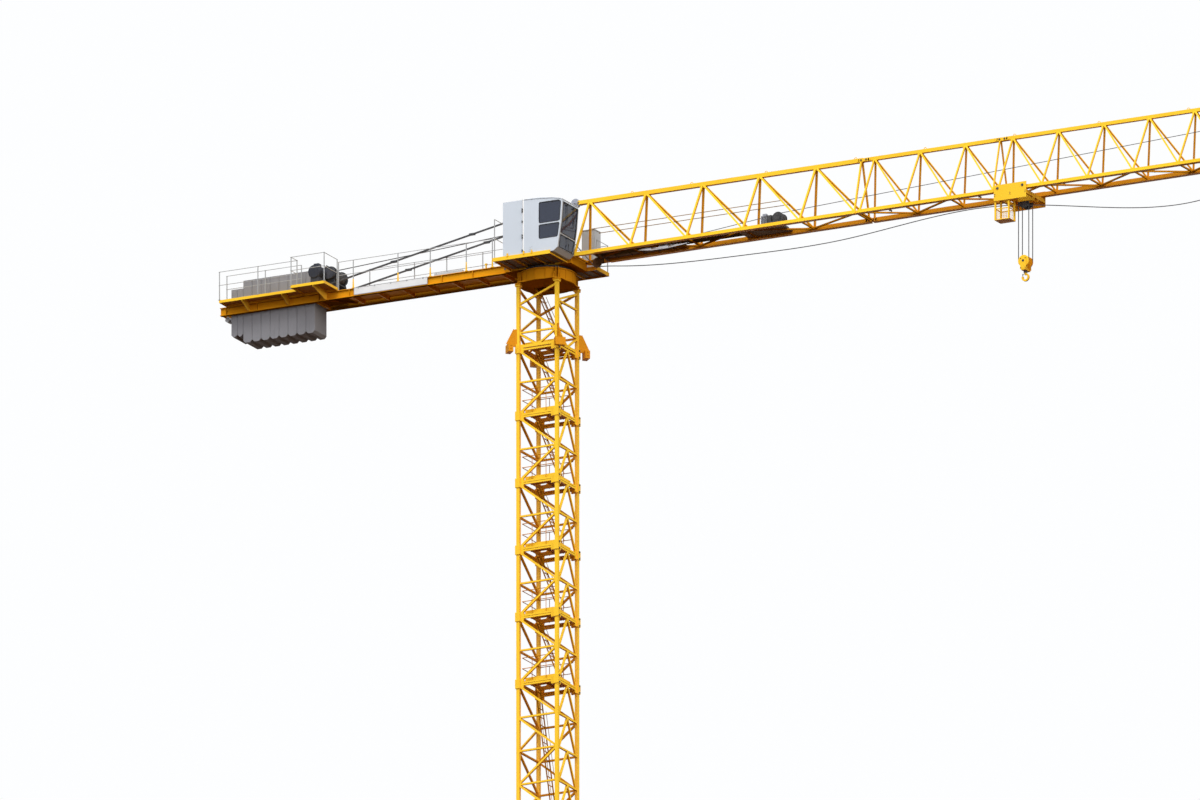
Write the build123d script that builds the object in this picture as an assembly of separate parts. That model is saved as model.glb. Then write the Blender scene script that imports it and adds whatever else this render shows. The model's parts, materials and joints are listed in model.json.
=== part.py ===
from build123d import *
from math import acos, atan2, cos, degrees, hypot, pi, sin
import os

# Tower crane with a level lattice jib, a half-size model: every length is in
# model millimetres, which are half of the real crane's.
# Origin: middle of the foundation frame's underside, on the slewing axis.
# +X runs out along the jib, +Z is up and the cab stands on the -Y side.

# Mast
mast_pitch = 775.0
leg_size = 62.0
bay_height = 625.0
section_bays = 2
section_count = 5
base_bays = 6
brace_size = 36.0
strut_pair = 40.0
mast_gusset = 64.0
mast_gusset_height = 80.0
strut_size = 32.0
joint_block = 94.0
joint_block_height = 84.0
joint_gap = 0.3

# Foundation frame
foot_plate = 300.0
foot_plate_thick = 25.0
foundation_beam = 100.0
foundation_beam_height = 110.0
anchor_spacing = 230.0
anchor_hole = 22.0

# Head section of the mast and the climbing brackets on its foot
head_height = 1225.0
head_belt = 300.0
head_node = 825.0
head_cap = 96.0
head_cap_height = 60.0
bracket_reach = 215.0
bracket_height = 325.0
bracket_thick = 24.0
bracket_foot = 90.0
bracket_foot_width = 190.0
bracket_drop = 115.0

# Platforms and ladders inside the mast
deck_size = 600.0
deck_thick = 8.0
toe_board = 78.0
hatch_size = 300.0
ladder_lean_room = 60.0
ladder_width = 180.0
ladder_stile = 18.0
rung_size = 12.0
rung_pitch = 156.25
bearer_size = 20.0

# Ring support and slewing ring
ring_plate = 930.0
ring_plate_thick = 20.0
drum_support_radius = 500.0
drum_support_wall = 20.0
support_flange_radius = 515.0
ring_plate_corner = 120.0
ring_bracket_reach = 560.0
ring_bracket_spread = 25.0
ring_bracket_thick = 12.0
drum_support_height = 215.0
gear_radius = 452.0
gear_root = 436.0
gear_teeth = 60
gear_bore = 380.0
gear_height = 60.0
race_radius = 374.0
bearing_gap = 0.3

# Turntable and its side platforms
turntable_front = 625.0
turntable_rear = -700.0
turntable_half = 310.0
turntable_height = 200.0
turntable_plate = 20.0
platform_drop = -6.0
platform_height = 44.0
platform_lip = 25.0
deck_plate = 12.0
platform_plate = 12.0
near_platform_reach = 985.0
near_platform_rear = -590.0
near_platform_front = 555.0
far_platform_reach = 790.0
far_platform_rear = -600.0
far_platform_front = 825.0

# Cab
cab_rear = 15.0
cab_floor_front = 612.0
cab_knee = 700.0
cab_waist = 770.0
cab_brow = 800.0
cab_roof_front = 770.0
cab_knee_height = 62.0
cab_waist_height = 517.0
cab_brow_height = 905.0
cab_front_height = 950.0
cab_height = 1030.0
cab_width = 630.0
cab_wall = 22.0
window_frame = 26.0
window_rear = 325.0
side_windows = ((255.0, 520.0), (545.0, 940.0))
front_windows = ((70.0, 300.0), (335.0, 897.0))
cabinet_size = 250.0
cabinet_height = 760.0
cabinet_x = 450.0
glass_inset = 5.0
glass_thick = 7.0
screen_length = 412.0
screen_thick = 14.0

# Tower head, link and tie bars
head_apex_x = 250.0
head_apex = 1150.0
link_eye_x = 565.0
link_eye_radius = 85.0
link_eye_width = 60.0
link_pin = 30.0
link_plate = 12.0
head_foot = -350.0
head_half = 240.0
head_bar = 70.0
sheave_shelf = 745.0
head_sheave_x = 150.0
head_sheave_radius = 100.0
root_sheave_x = 1000.0
root_sheave_drop = 110.0
root_sheave_radius = 78.0
root_bar_offset = 112.0
tie_foot_x = -4530.0
tie_half = 282.0
tie_lug = 100.0
tie_size = 26.0

# Counter-jib
tail_x = -6430.0
beam_half = 290.0
beam_flange = 75.0
beam_height = 150.0
beam_foot = -20.0
beam_web = 10.0
flange_thick = 12.0
cross_pitch = 1000.0
floor_thick = 6.0
rail_height = 530.0
rail_half = 320.0
rail_size = 14.0
rail_bar = 9.0
mid_rail = 0.52
screen_rail_height = 750.0
rail_posts = (-3750.0, -2850.0, -2200.0, -1475.0, -950.0)
tail_deck_rear = -6300.0
tail_deck_step = -4740.0
tail_deck_front = -4060.0
tail_deck_narrow = 615.0
tail_deck_wide = 845.0
tail_deck_edge = 50.0
tail_arms = ((-5850.0, 615.0), (-5050.0, 615.0), (-4300.0, 845.0))
tail_arm_thick = 12.0
tail_arm_tip = 22.0
tail_post_x = -5520.0
board_rear = -3725.0
board_front = -2250.0
board_height = 128.0
board_thick = 8.0

# Ballast slabs
slab_front = -4570.0
slab_pitch = 180.5
slab_count = 8
slab_gap = 3.0
slab_corner = 8.0
slab_half = 233.0
slab_top = 605.0
slab_bottom = -555.0
end_slab_pitch = 120.0
end_slab_count = 2
end_slab_top = 465.0
end_slab_bottom = -425.0
slab_chamfer = 45.0
slab_ear = 60.0
slab_ear_height = 40.0

# Hoist winch
winch_x = -4275.0
winch_axis = 495.0
winch_drum_radius = 105.0
winch_flange_radius = 145.0
winch_drum_length = 410.0
winch_flange = 12.0
winch_shaft = 22.0
shaft_clearance = 0.08
winch_plate = 20.0
winch_plate_gap = 6.0
motor_radius = 125.0
motor_length = 250.0
motor_x = -4420.0
motor_gear = 70.0

# Jib
root_x = 660.0
inner_bay = 1140.0
inner_bays = 5
outer_bay = 915.0
middle_bays = 3
outer_bays = 6
section_gap = 40.0
inner_lead = 190.0
outer_lead = 190.0
jib_half = 287.5
lower_chord = 72.0
lower_chord_height = 145.0
top_chord_height = 1190.0
inner_top_chord = 76.0
outer_top_chord = 66.0
runway_width = 32.0
runway_start = 1100.0
runway_thick = 14.0
inner_brace = 35.0
outer_brace = 29.0
floor_brace = 28.0
lattice_shift = 27.0
tip_length = 230.0
walk_width = 230.0
winch_base_length = 400.0
winch_motor_length = 140.0
winch_motor_inset = 10.0
walk_thick = 10.0
walk_front = 4800.0
walk_start = 960.0
walk_rail_height = 625.0
walk_rail = 10.0
trolley_winch_drum = 130.0
winch_stand = 170.0
winch_motor_height = 230.0
rear_rope_end = 1800.0
rear_rope_offset = 25.0
front_rope_slope = 0.041
small_drum_radius = 95.0

# Trolley, with its middle at rest and its hook
trolley_x = 9500.0
trolley_length = 650.0
trolley_gap = 30.0
trolley_side_gap = 8.0
trolley_beam = 75.0
trolley_plate = 14.0
trolley_plate_height = 70.0
trolley_plate_rise = 45.0
wheel_radius = 40.0
wheel_width = 25.0
wheel_side_gap = 5.5
wheel_base = 500.0
wheel_gap = 0.3
sheave_radius = 95.0
sheave_width = 26.0
sheave_offset = 75.0
sheave_x = 120.0
sheave_drop = 60.0
basket_length = 300.0
basket_depth = 420.0
basket_bar = 30.0
fall_length = 1100.0
rope_radius = 8.0
rope_gap = 0.3
trolley_rope_radius = 6.0
rope_sag = ((1450.0, -95.0), (3900.0, -240.0), (5900.0, -234.0), (9050.0, -40.0), (14450.0, -38.0))

# Levels worked out from the sizes above
half_mast = mast_pitch / 2
base_foot = foot_plate_thick
base_top = base_foot + base_bays * bay_height
section_height = section_bays * bay_height
head_foot_z = base_top + section_count * section_height
head_top = head_foot_z + head_height
support_top = head_top + drum_support_height
gear_top = support_top + gear_height
turntable_z = gear_top + bearing_gap
platform_z = turntable_z - platform_drop
platform_top = platform_z + platform_height
cab_outer = near_platform_reach - platform_plate - 1
turntable_top = turntable_z + turntable_height
beam_z = turntable_z + beam_foot
beam_top = beam_z + beam_height
chord_z = turntable_z + lower_chord_height
chord_top = chord_z + lower_chord / 2
chord_bottom = chord_z - lower_chord / 2
top_chord_z = turntable_z + top_chord_height
inner_end = root_x + inner_bay * inner_bays
middle_start = inner_end + section_gap
middle_end = middle_start + outer_bay * middle_bays
outer_start = middle_end + section_gap
outer_end = outer_start + outer_bay * outer_bays

LOW = (Align.CENTER, Align.CENTER, Align.MIN)
MID = (Align.CENTER, Align.CENTER, Align.CENTER)

os.makedirs("parts", exist_ok=True)


def block(x0, x1, y0, y1, z0, z1):
    """A plain block between two corners."""
    size = Box(x1 - x0, y1 - y0, z1 - z0)
    return Pos((x0 + x1) / 2, (y0 + y1) / 2, (z0 + z1) / 2) * size


def bar(start, end, thick, deep, normal=(0, 0, 1), extra=0.0):
    """A straight square bar between two points, thick along the normal."""
    line = Vector(*end) - Vector(*start)
    step = line.normalized() * extra
    foot = Vector(*start) - step
    plane = Plane(origin=foot, x_dir=normal, z_dir=line)
    return plane * Box(thick, deep, line.length + 2 * extra, align=LOW)


def rod(start, end, radius):
    """A round rod between two points."""
    line = Vector(*end) - Vector(*start)
    plane = Plane(origin=start, z_dir=line)
    return plane * Cylinder(radius, line.length, align=LOW)


def fused(shapes):
    """One solid made of shapes that cross."""
    shapes = list(shapes)
    whole = shapes[0]
    if len(shapes) > 1:
        whole = whole.fuse(*shapes[1:])
    return whole


def write(name, *shapes):
    """Write one node; its separate pieces stay separate solids."""
    solids = []
    for shape in shapes:
        solids += list(shape.solids())
    node = solids[0] if len(solids) == 1 else Compound(children=solids)
    export_step(node, "parts/" + name + ".step")


def corners(half):
    """The four leg centres: near left, near right, far right, far left."""
    return ((-half, -half), (half, -half), (half, half), (-half, half))


# Foundation frame

def foundation_frame():
    plates = []
    for x, y in corners(half_mast):
        plate = Pos(x, y, 0) * Box(foot_plate, foot_plate, foot_plate_thick, align=LOW)
        holes = GridLocations(anchor_spacing, anchor_spacing, 2, 2)
        for place in holes:
            drill = Cylinder(anchor_hole / 2, foot_plate_thick * 2)
            plate = plate - Pos(x, y, foot_plate_thick) * place * drill
        plates.append(plate)
    edge = half_mast - foot_plate / 2
    beams = []
    for side in (-half_mast, half_mast):
        beams.append(Pos(0, side, 0) * Box(
            2 * edge, foundation_beam, foundation_beam_height, align=LOW))
        beams.append(Pos(side, 0, 0) * Box(
            foundation_beam, 2 * edge, foundation_beam_height, align=LOW))
    beams.append(Box(mast_pitch, foundation_beam, foundation_beam_height, align=LOW))
    beams.append(Box(foundation_beam, mast_pitch, foundation_beam_height, align=LOW))
    return fused(plates + beams)


# Mast sections

def leg(x, y, z0, z1, foot_size, foot_height, top_size, top_height):
    """One square leg with its thicker joint blocks."""
    parts = [
        Pos(x, y, z0) * Box(leg_size, leg_size, z1 - z0, align=LOW),
        Pos(x, y, z0) * Box(foot_size, foot_size, foot_height, align=LOW),
        Pos(x, y, z1 - top_height) * Box(top_size, top_size, top_height, align=LOW),
    ]
    return fused(parts)


def section_legs(z0, z1):
    return [
        leg(x, y, z0, z1 - joint_gap, joint_block, joint_block_height,
            joint_block, joint_block_height)
        for x, y in corners(half_mast)
    ]


def side_panel(side, z0, z1, bars, cap, cap_height):
    """A flat side between two legs, cut square at the legs and their blocks.

    Each bar is (u0, z0, u1, z1, width) in the side's own drawing.
    """
    offset_y = {"near": -half_mast, "far": half_mast}.get(side)
    offset_x = {"left": -half_mast, "right": half_mast}.get(side)
    if offset_x is None:
        plane = Plane(origin=(0, offset_y, 0), x_dir=(1, 0, 0), z_dir=(0, -1, 0))
    else:
        plane = Plane(origin=(offset_x, 0, 0), x_dir=(0, 1, 0), z_dir=(1, 0, 0))
    clear = half_mast - leg_size / 2
    narrow = half_mast - joint_block / 2
    drawing = joined(strip((u0, v0), (u1, v1), width) for u0, v0, u1, v1, width in bars)
    for turn in (-1, 1):
        u0, u1 = sorted((turn * narrow, turn * (narrow - mast_gusset)))
        drawing = drawing + oblong(u0, u1, z0, z0 + mast_gusset_height)
        if cap_height == joint_block_height:
            drawing = drawing + oblong(u0, u1, z1 - mast_gusset_height, z1)
    window = oblong(-clear, clear, z0 + joint_block_height, z1 - cap_height)
    foot = oblong(-narrow, narrow, z0 + joint_gap, z0 + joint_block_height)
    head_half_width = half_mast - cap / 2
    head = oblong(-head_half_width, head_half_width, z1 - cap_height, z1 - joint_gap)
    return extrude(plane * (drawing & (window + foot + head)), brace_size / 2, both=True)


# Head section

def head_legs():
    return [
        leg(x, y, head_foot_z, head_top, joint_block, joint_block_height,
            head_cap, head_cap_height)
        for x, y in corners(half_mast)
    ]


def head_panel(side, turn):
    """A beam at the foot, a belt with V bars and two braces to one leg."""
    foot = head_foot_z + strut_pair
    belt = head_foot_z + head_belt
    node = head_foot_z + head_node
    top = head_top - head_cap_height - brace_size
    here = turn * half_mast
    bars = [
        (-half_mast, foot, half_mast, foot, strut_size * 1.6),
        (-half_mast, belt, half_mast, belt, strut_size),
        (0, foot, -half_mast, belt, strut_size),
        (0, foot, half_mast, belt, strut_size),
        (-here, belt, here, node, brace_size),
        (here, node, -here, top, brace_size),
    ]
    if side in ("left", "right"):
        bars.append((-half_mast, node, half_mast, node, strut_size))
    return side_panel(side, head_foot_z, head_top, bars, head_cap, head_cap_height)


def climbing_bracket(x, y):
    """A tapered gusset that points out from a corner, with a broad foot."""
    level = head_foot_z + joint_block_height / 2
    turn = Pos(x, y, level) * Rot(0, 0, degrees(atan2(y, x)))
    upright = Plane(origin=(0, 0, 0), x_dir=(1, 0, 0), z_dir=(0, -1, 0))
    profile = [(0, 0), (bracket_reach, 0), (bracket_reach, bracket_foot / 3),
               (joint_block * 0.75, bracket_height), (0, bracket_height)]
    gusset = extrude(upright * make_face(Polyline(*profile, close=True)),
                     bracket_thick / 2, both=True)
    foot = block(bracket_reach - bracket_foot, bracket_reach, -bracket_foot_width / 2,
                 bracket_foot_width / 2, -bracket_drop, bracket_foot / 3)
    leg_room = Pos(x, y, head_foot_z) * Box(leg_size, leg_size, head_height, align=LOW)
    block_room = Pos(x, y, head_foot_z) * Box(
        joint_block, joint_block, joint_block_height, align=LOW)
    return turn * fused([gusset, foot]) - leg_room - block_room


# Platforms and ladders

def mast_platform(joint):
    """A deck of two plates with toe boards, on bearers over the upper struts."""
    strut_top = joint + strut_pair / 2 + strut_size / 2
    level = strut_top + bearer_size
    half = deck_size / 2
    tray = block(-half, half, -half, half, level, level + toe_board)
    tray = tray - block(-half + deck_thick, half - deck_thick, -half + deck_thick,
                        half - deck_thick, level + deck_thick, level + toe_board + 1)
    hatch = block(-half + deck_thick, -half + deck_thick + hatch_size,
                  half - deck_thick - hatch_size, half - deck_thick, level - 1, level + toe_board)
    reach = half_mast - brace_size / 2
    bearers = []
    for x in (-half + deck_thick + hatch_size + bearer_size / 2, half - bearer_size):
        bearers.append(block(x - bearer_size / 2, x + bearer_size / 2, -reach, reach,
                             strut_top, level))
    return fused([tray - hatch] + bearers)


def ladder(z0, z1):
    """A steep ladder that leans through the hatch; its head rests on the rim."""
    y = deck_size / 2 - deck_thick - hatch_size / 2
    foot_x = deck_size / 2 - deck_thick - ladder_lean_room
    head_x = -deck_size / 2 + deck_thick + ladder_stile
    half = ladder_width / 2
    upright = Plane(origin=(0, y, 0), x_dir=(1, 0, 0), z_dir=(0, -1, 0))
    room = upright * oblong(-deck_size, deck_size, z0, z1)
    stile = extrude(room, half + ladder_stile, both=True)
    bars = [
        bar((foot_x, y + side * half, z0), (head_x, y + side * half, z1),
            ladder_stile, ladder_stile, (0, 1, 0), ladder_stile)
        for side in (-1, 1)
    ]
    count = int((z1 - z0) / rung_pitch)
    for index in range(count):
        share = (index + 0.5) / count
        x = foot_x + (head_x - foot_x) * share
        z = z0 + (z1 - z0) * share
        bars.append(block(x - rung_size / 2, x + rung_size / 2, y - half, y + half,
                          z - rung_size / 2, z + rung_size / 2))
    return fused(bars) & stile


# Ring support and slewing ring

def ring_support():
    """A closed deck plate, a drum with a flange and plates over the legs."""
    plate = Pos(0, 0, head_top) * Box(ring_plate, ring_plate, ring_plate_thick, align=LOW)
    plate = chamfer(plate.edges().filter_by(Axis.Z), ring_plate_corner)
    half = deck_size / 2 - deck_thick
    hatch = block(-half, -half + hatch_size, half - hatch_size, half,
                  head_top - 1, head_top + ring_plate_thick + 1)
    drum = Pos(0, 0, head_top) * Cylinder(
        drum_support_radius, drum_support_height, align=LOW)
    drum = drum - Pos(0, 0, head_top - 1) * Cylinder(
        drum_support_radius - drum_support_wall, drum_support_height + 2, align=LOW)
    top = Pos(0, 0, support_top - ring_plate_thick) * Cylinder(
        support_flange_radius, ring_plate_thick, align=LOW)
    top = top - Pos(0, 0, support_top) * Cylinder(race_radius - 60, ring_plate_thick * 3)
    brackets = []
    for index in range(4):
        for side in (-1, 1):
            middle = side * ring_bracket_spread
            plate_up = block(drum_support_radius - drum_support_wall, ring_bracket_reach,
                             middle - ring_bracket_thick / 2, middle + ring_bracket_thick / 2,
                             head_top + 1, support_top - 1)
            brackets.append(Rot(0, 0, 45 + 90 * index) * plate_up)
    return fused([plate - hatch, drum, top] + brackets)


def slewing_gear():
    ring = Pos(0, 0, support_top) * Cylinder(gear_root, gear_height, align=LOW)
    teeth = []
    width = pi * gear_root / gear_teeth
    for index in range(gear_teeth):
        tooth = block(gear_root - 6, gear_radius, -width / 2, width / 2,
                      support_top, gear_top - 12)
        teeth.append(Rot(0, 0, 360 * index / gear_teeth) * tooth)
    ring = fused([ring] + teeth)
    return ring - Pos(0, 0, support_top - 1) * Cylinder(gear_bore, gear_height + 2, align=LOW)


# Turntable and platforms

def turntable():
    box = block(turntable_rear, turntable_front, -turntable_half, turntable_half,
                turntable_z, turntable_top)
    race = Pos(0, 0, support_top + bearing_gap) * Cylinder(
        race_radius, gear_height + 5, align=LOW)
    well = Pos(0, 0, support_top) * Cylinder(
        race_radius - 50, turntable_top, align=LOW)
    inside = block(turntable_rear + 120, turntable_front - 60,
                   -turntable_half + turntable_plate, turntable_half - turntable_plate,
                   turntable_z + turntable_plate, turntable_top - turntable_plate)
    return fused([box, race]) - well - inside


def side_platform(sign, rear, front, reach, lip_room):
    """A tray of edge channels round a deck that lies below their upper edge."""
    y0, y1 = sorted((sign * turntable_half, sign * reach))
    lip_top = platform_top + platform_lip
    tray = block(rear, front, y0, y1, platform_z, lip_top)
    inside = block(rear + platform_plate, front - platform_plate,
                   y0 + platform_plate, y1 - platform_plate, platform_top, lip_top + 1)
    under = block(rear + platform_plate, front - platform_plate,
                  y0 + platform_plate, y1 - platform_plate,
                  platform_z - 1, platform_top - deck_plate)
    ribs = []
    for share in (1 / 3, 2 / 3):
        x = rear + (front - rear) * share
        ribs.append(block(x - 10, x + 10, y0 + 1, y1 - 1, platform_z, platform_top - 1))
    return fused([tray - inside - under - lip_room] + ribs)


def railing(points, foot, top, first_post=True):
    """One straight side: posts at the points and two rails between them."""
    half = rail_size / 2
    (xa, ya), (xb, yb) = points[0], points[-1]
    share = half / hypot(xb - xa, yb - ya)
    start = points[0] if first_post else (xa + (xb - xa) * share, ya + (yb - ya) * share)
    parts = [block(x - half, x + half, y - half, y + half, foot, top)
             for x, y in (points if first_post else points[1:])]
    for level in (top - rail_bar / 2, foot + (top - foot) * mid_rail):
        parts.append(bar((*start, level), (xb, yb, level), rail_bar, rail_bar))
    return fused(parts)


# Cab

def cab_profile():
    """The cab's side outline, as a face in the XZ plane of the cab's floor."""
    with BuildSketch(Plane.XZ) as outline:
        with BuildLine():
            Polyline(
                (cab_rear, 0), (cab_floor_front, 0), (cab_knee, cab_knee_height),
                (cab_waist, cab_waist_height), (cab_brow, cab_brow_height),
                (cab_roof_front, cab_front_height))
            ThreePointArc(
                (cab_roof_front, cab_front_height),
                ((cab_roof_front + cab_rear) / 2, cab_height - 8),
                (cab_rear, cab_height))
            Line((cab_rear, cab_height), (cab_rear, 0))
        make_face()
    return outline.sketch


def cab_body(inset):
    """The cab's outer form, drawn in by an inset on every side."""
    face = cab_profile()
    if inset:
        face = offset(face, amount=-inset, kind=Kind.INTERSECTION)
    solid = extrude(face, (cab_width - 2 * inset) / 2, both=True)
    return Pos(0, cab_width / 2 - cab_outer, platform_top) * solid


def cab_window_cuts():
    """Blocks that cut the side and front windows."""
    low = platform_top
    inner = cab_width - cab_outer
    pane = offset(cab_profile(), amount=-window_frame, kind=Kind.INTERSECTION)
    cuts = []
    for y in (-cab_outer, inner):
        wall = Pos(0, y, low) * extrude(pane, cab_wall + 1, both=True)
        for z0, z1 in side_windows:
            room = block(window_rear, cab_brow, y - cab_wall - 2, y + cab_wall + 2,
                         low + z0, low + z1)
            cuts.append(wall & room)
    side = window_frame * 1.5
    for z0, z1 in front_windows:
        cuts.append(block(cab_knee - 75, cab_brow + 10, side - cab_outer, inner - side,
                          low + z0, low + z1))
    return cuts


def cab():
    shell = cab_body(0) - cab_body(cab_wall)
    glass_layer = cab_body(glass_inset) - cab_body(glass_inset + glass_thick)
    panes = []
    for cut in cab_window_cuts():
        panes += list((glass_layer & cut).solids())
        shell = shell - cut
    return shell, panes


# Tower head, link and ties

def tower_head():
    """Two side frames of a post, a leaning stay and a shelf, joined by beams."""
    parts = []
    apex = turntable_z + head_apex
    shelf = turntable_z + sheave_shelf
    half = head_bar / 2
    for side in (-head_half, head_half):
        parts.append(block(head_apex_x - half, head_apex_x + half, side - half * 0.7,
                           side + half * 0.7, turntable_top, apex))
        parts.append(bar((head_foot, side, turntable_top), (head_apex_x, side, apex - half),
                         head_bar * 0.7, head_bar * 0.8, (0, 1, 0), head_bar))
        parts.append(block(head_sheave_x - head_bar * 2, head_apex_x, side - half * 0.7,
                           side + half * 0.7, shelf - half, shelf + half))
    reach = tie_half + tie_size / 2
    parts.append(block(head_apex_x - half, head_apex_x + half, -reach, reach,
                       apex - head_bar, apex))
    middle = (head_foot + head_apex_x) / 2
    level = (turntable_top + apex - half) / 2
    parts.append(Pos(middle, 0, level) * Box(head_bar * 0.7, head_half * 2, head_bar * 0.7))
    room = block(head_foot - 200, head_apex_x + half, -head_half * 2, head_half * 2,
                 turntable_top, apex)
    return fused(parts) & room


# Counter-jib

def i_beam(y):
    half = beam_flange / 2
    web = block(tail_x, turntable_rear, y - beam_web / 2, y + beam_web / 2, beam_z, beam_top)
    low = block(tail_x, turntable_rear, y - half, y + half, beam_z, beam_z + flange_thick)
    high = block(tail_x, turntable_rear, y - half, y + half, beam_top - flange_thick, beam_top)
    return fused([web, low, high])


def counter_jib_floor():
    """Cross members between the webs and a floor plate on them."""
    inner = beam_half - beam_web / 2
    low = beam_z + flange_thick
    x = turntable_rear - 120
    floor_end = winch_x + 330
    parts = []
    while x > floor_end:
        parts.append(block(x - 15, x + 15, -inner, inner, low, low + 60))
        x -= cross_pitch / 2
    edge = beam_half - beam_flange / 2
    parts.append(block(floor_end - 40, turntable_rear, -edge, edge, low + 60, low + 60 + floor_thick))
    return fused(parts)


def tail_frame():
    """Cross beams under and behind the ballast that tie the two beams."""
    inner = beam_half - beam_web / 2
    low = beam_z + flange_thick
    high = beam_top - flange_thick
    return [
        block(tail_x, tail_x + 30, -inner, inner, low, high),
        block(slab_front + 20, slab_front + 60, -inner, inner, low, high),
    ]


def tail_platform():
    """A stepped deck outside the near beam, on tapered brackets."""
    inner = -beam_half - beam_flange / 4
    z0 = beam_top
    z1 = beam_top + tail_deck_edge
    narrow = block(tail_deck_rear, tail_deck_step, -tail_deck_narrow, inner, z0, z1)
    narrow = narrow - block(tail_deck_rear + 6, tail_deck_step + 1, -tail_deck_narrow + 6,
                            inner - 6, z0 - 1, z1 - 8)
    wide = block(tail_deck_step, tail_deck_front, -tail_deck_wide, inner, z0, z1)
    wide = wide - block(tail_deck_step + 6, tail_deck_front - 6, -tail_deck_wide + 6,
                        inner - 6, z0 - 1, z1 - 8)
    web = -beam_half - beam_web / 2
    flange = -beam_half - beam_flange / 2 - 1
    arms = []
    for x, reach in tail_arms:
        outline = [
            (web, beam_z + flange_thick), (web, z0 - flange_thick),
            (flange, z0 - flange_thick), (flange, z1 - 4), (10 - reach, z1 - 4),
            (10 - reach, z0 - tail_arm_tip), (flange - 60, beam_z + flange_thick)]
        plane = Plane(origin=(x, 0, 0), x_dir=(0, 1, 0), z_dir=(1, 0, 0))
        arms.append(extrude(plane * make_face(Polyline(*outline, close=True)),
                            tail_arm_thick / 2, both=True))
    return fused([narrow, wide] + arms)


def slab(x0, x1, z0, z1):
    """A ballast slab with a blunt pointed foot and a bar that rests on the beams."""
    tip = slab_chamfer
    gap = slab_gap / 2
    points = [
        (x0 + gap, z1), (x1 - gap, z1), (x1 - gap, z0 + tip),
        (x1 - gap - tip, z0), (x0 + gap + tip, z0), (x0 + gap, z0 + tip)]
    plane = Plane(origin=(0, 0, turntable_z), x_dir=(1, 0, 0), z_dir=(0, -1, 0))
    body = extrude(plane * make_face(Polyline(*points, close=True)), slab_half, both=True)
    body = chamfer(body.edges().filter_by(Axis.Z), slab_corner)
    middle = (x0 + x1) / 2
    reach = beam_half + beam_flange / 4
    ear = block(middle - slab_ear / 2, middle + slab_ear / 2, -reach, reach,
                beam_top, beam_top + slab_ear_height)
    return fused([body, ear])


def ballast():
    slabs = []
    for index in range(slab_count):
        x1 = slab_front - index * slab_pitch
        slabs.append(slab(x1 - slab_pitch, x1, slab_bottom, slab_top))
    start = slab_front - slab_count * slab_pitch
    for index in range(end_slab_count):
        x1 = start - index * end_slab_pitch
        slabs.append(slab(x1 - end_slab_pitch, x1, end_slab_bottom, end_slab_top))
    return slabs


# Hoist winch

def hoist_drum():
    z = turntable_z + winch_axis
    half = winch_drum_length / 2
    plane = Plane(origin=(winch_x, 0, z), x_dir=(1, 0, 0), z_dir=(0, 1, 0))
    parts = [
        plane * Cylinder(winch_drum_radius, winch_drum_length),
        plane * Pos(0, 0, half - winch_flange / 2) * Cylinder(winch_flange_radius, winch_flange),
        plane * Pos(0, 0, -half + winch_flange / 2) * Cylinder(winch_flange_radius, winch_flange),
        plane * Cylinder(winch_shaft, winch_drum_length + 2 * (winch_plate + winch_plate_gap)),
    ]
    return fused(parts)


def winch_frame():
    """Two bearing plates on sleepers across the beams."""
    z = turntable_z + winch_axis
    half = winch_drum_length / 2 + winch_plate_gap
    parts = []
    for sign in (-1, 1):
        y = sign * (half + winch_plate / 2)
        plane = Plane(origin=(0, y, 0), x_dir=(1, 0, 0), z_dir=(0, -1, 0))
        outline = [
            (winch_x - 150, beam_top), (winch_x + 150, beam_top),
            (winch_x + 50, z + 60), (winch_x - 50, z + 60)]
        cheek = extrude(plane * make_face(Polyline(*outline, close=True)),
                        winch_plate / 2, both=True)
        hole = Plane(origin=(winch_x, y, z), z_dir=(0, 1, 0)) * Cylinder(
            winch_shaft + shaft_clearance, winch_plate * 2)
        parts.append(cheek - hole)
    edge = beam_half - beam_flange / 4
    for x in (winch_x - 120, winch_x + 120):
        parts.append(block(x - 25, x + 25, -edge, edge, beam_top, beam_top + 40))
    return fused(parts)


def hoist_motor():
    """An eight-sided motor on a foot on the wide deck, geared to the drum."""
    z = turntable_z + winch_axis - 15
    cheek = winch_drum_length / 2 + winch_plate_gap + winch_plate
    y0 = -cheek - motor_gear - motor_length
    plane = Plane(origin=(motor_x, y0, z), x_dir=(1, 0, 0), z_dir=(0, 1, 0))
    body = plane * extrude(RegularPolygon(motor_radius, 8), motor_length)
    gear = block(motor_x - motor_radius * 0.6, winch_x + 60, -cheek - motor_gear, -cheek,
                 z - motor_radius * 0.6, z + motor_radius * 0.6)
    foot = block(motor_x - 80, motor_x + 80, y0 + 20, y0 + motor_length - 20,
                 beam_top + tail_deck_edge, z)
    return fused([body, gear, foot])


# Jib

def top_chord(x0, x1, size):
    half = size / 2
    return block(x0, x1, -half, half, top_chord_z - half, top_chord_z + half)


def lower_chords(x0, x1, runway):
    """Square chords with an outer runway ledge for the trolley wheels."""
    chords = []
    half = lower_chord / 2
    for sign in (-1, 1):
        y = sign * jib_half
        square = block(x0, x1, y - half, y + half, chord_bottom, chord_top)
        y0, y1 = sorted((y, y + sign * (half + runway_width)))
        ledge = block(runway, x1, y0, y1, chord_bottom, chord_bottom + runway_thick)
        chords.append(fused([square, ledge]))
    return chords


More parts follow.
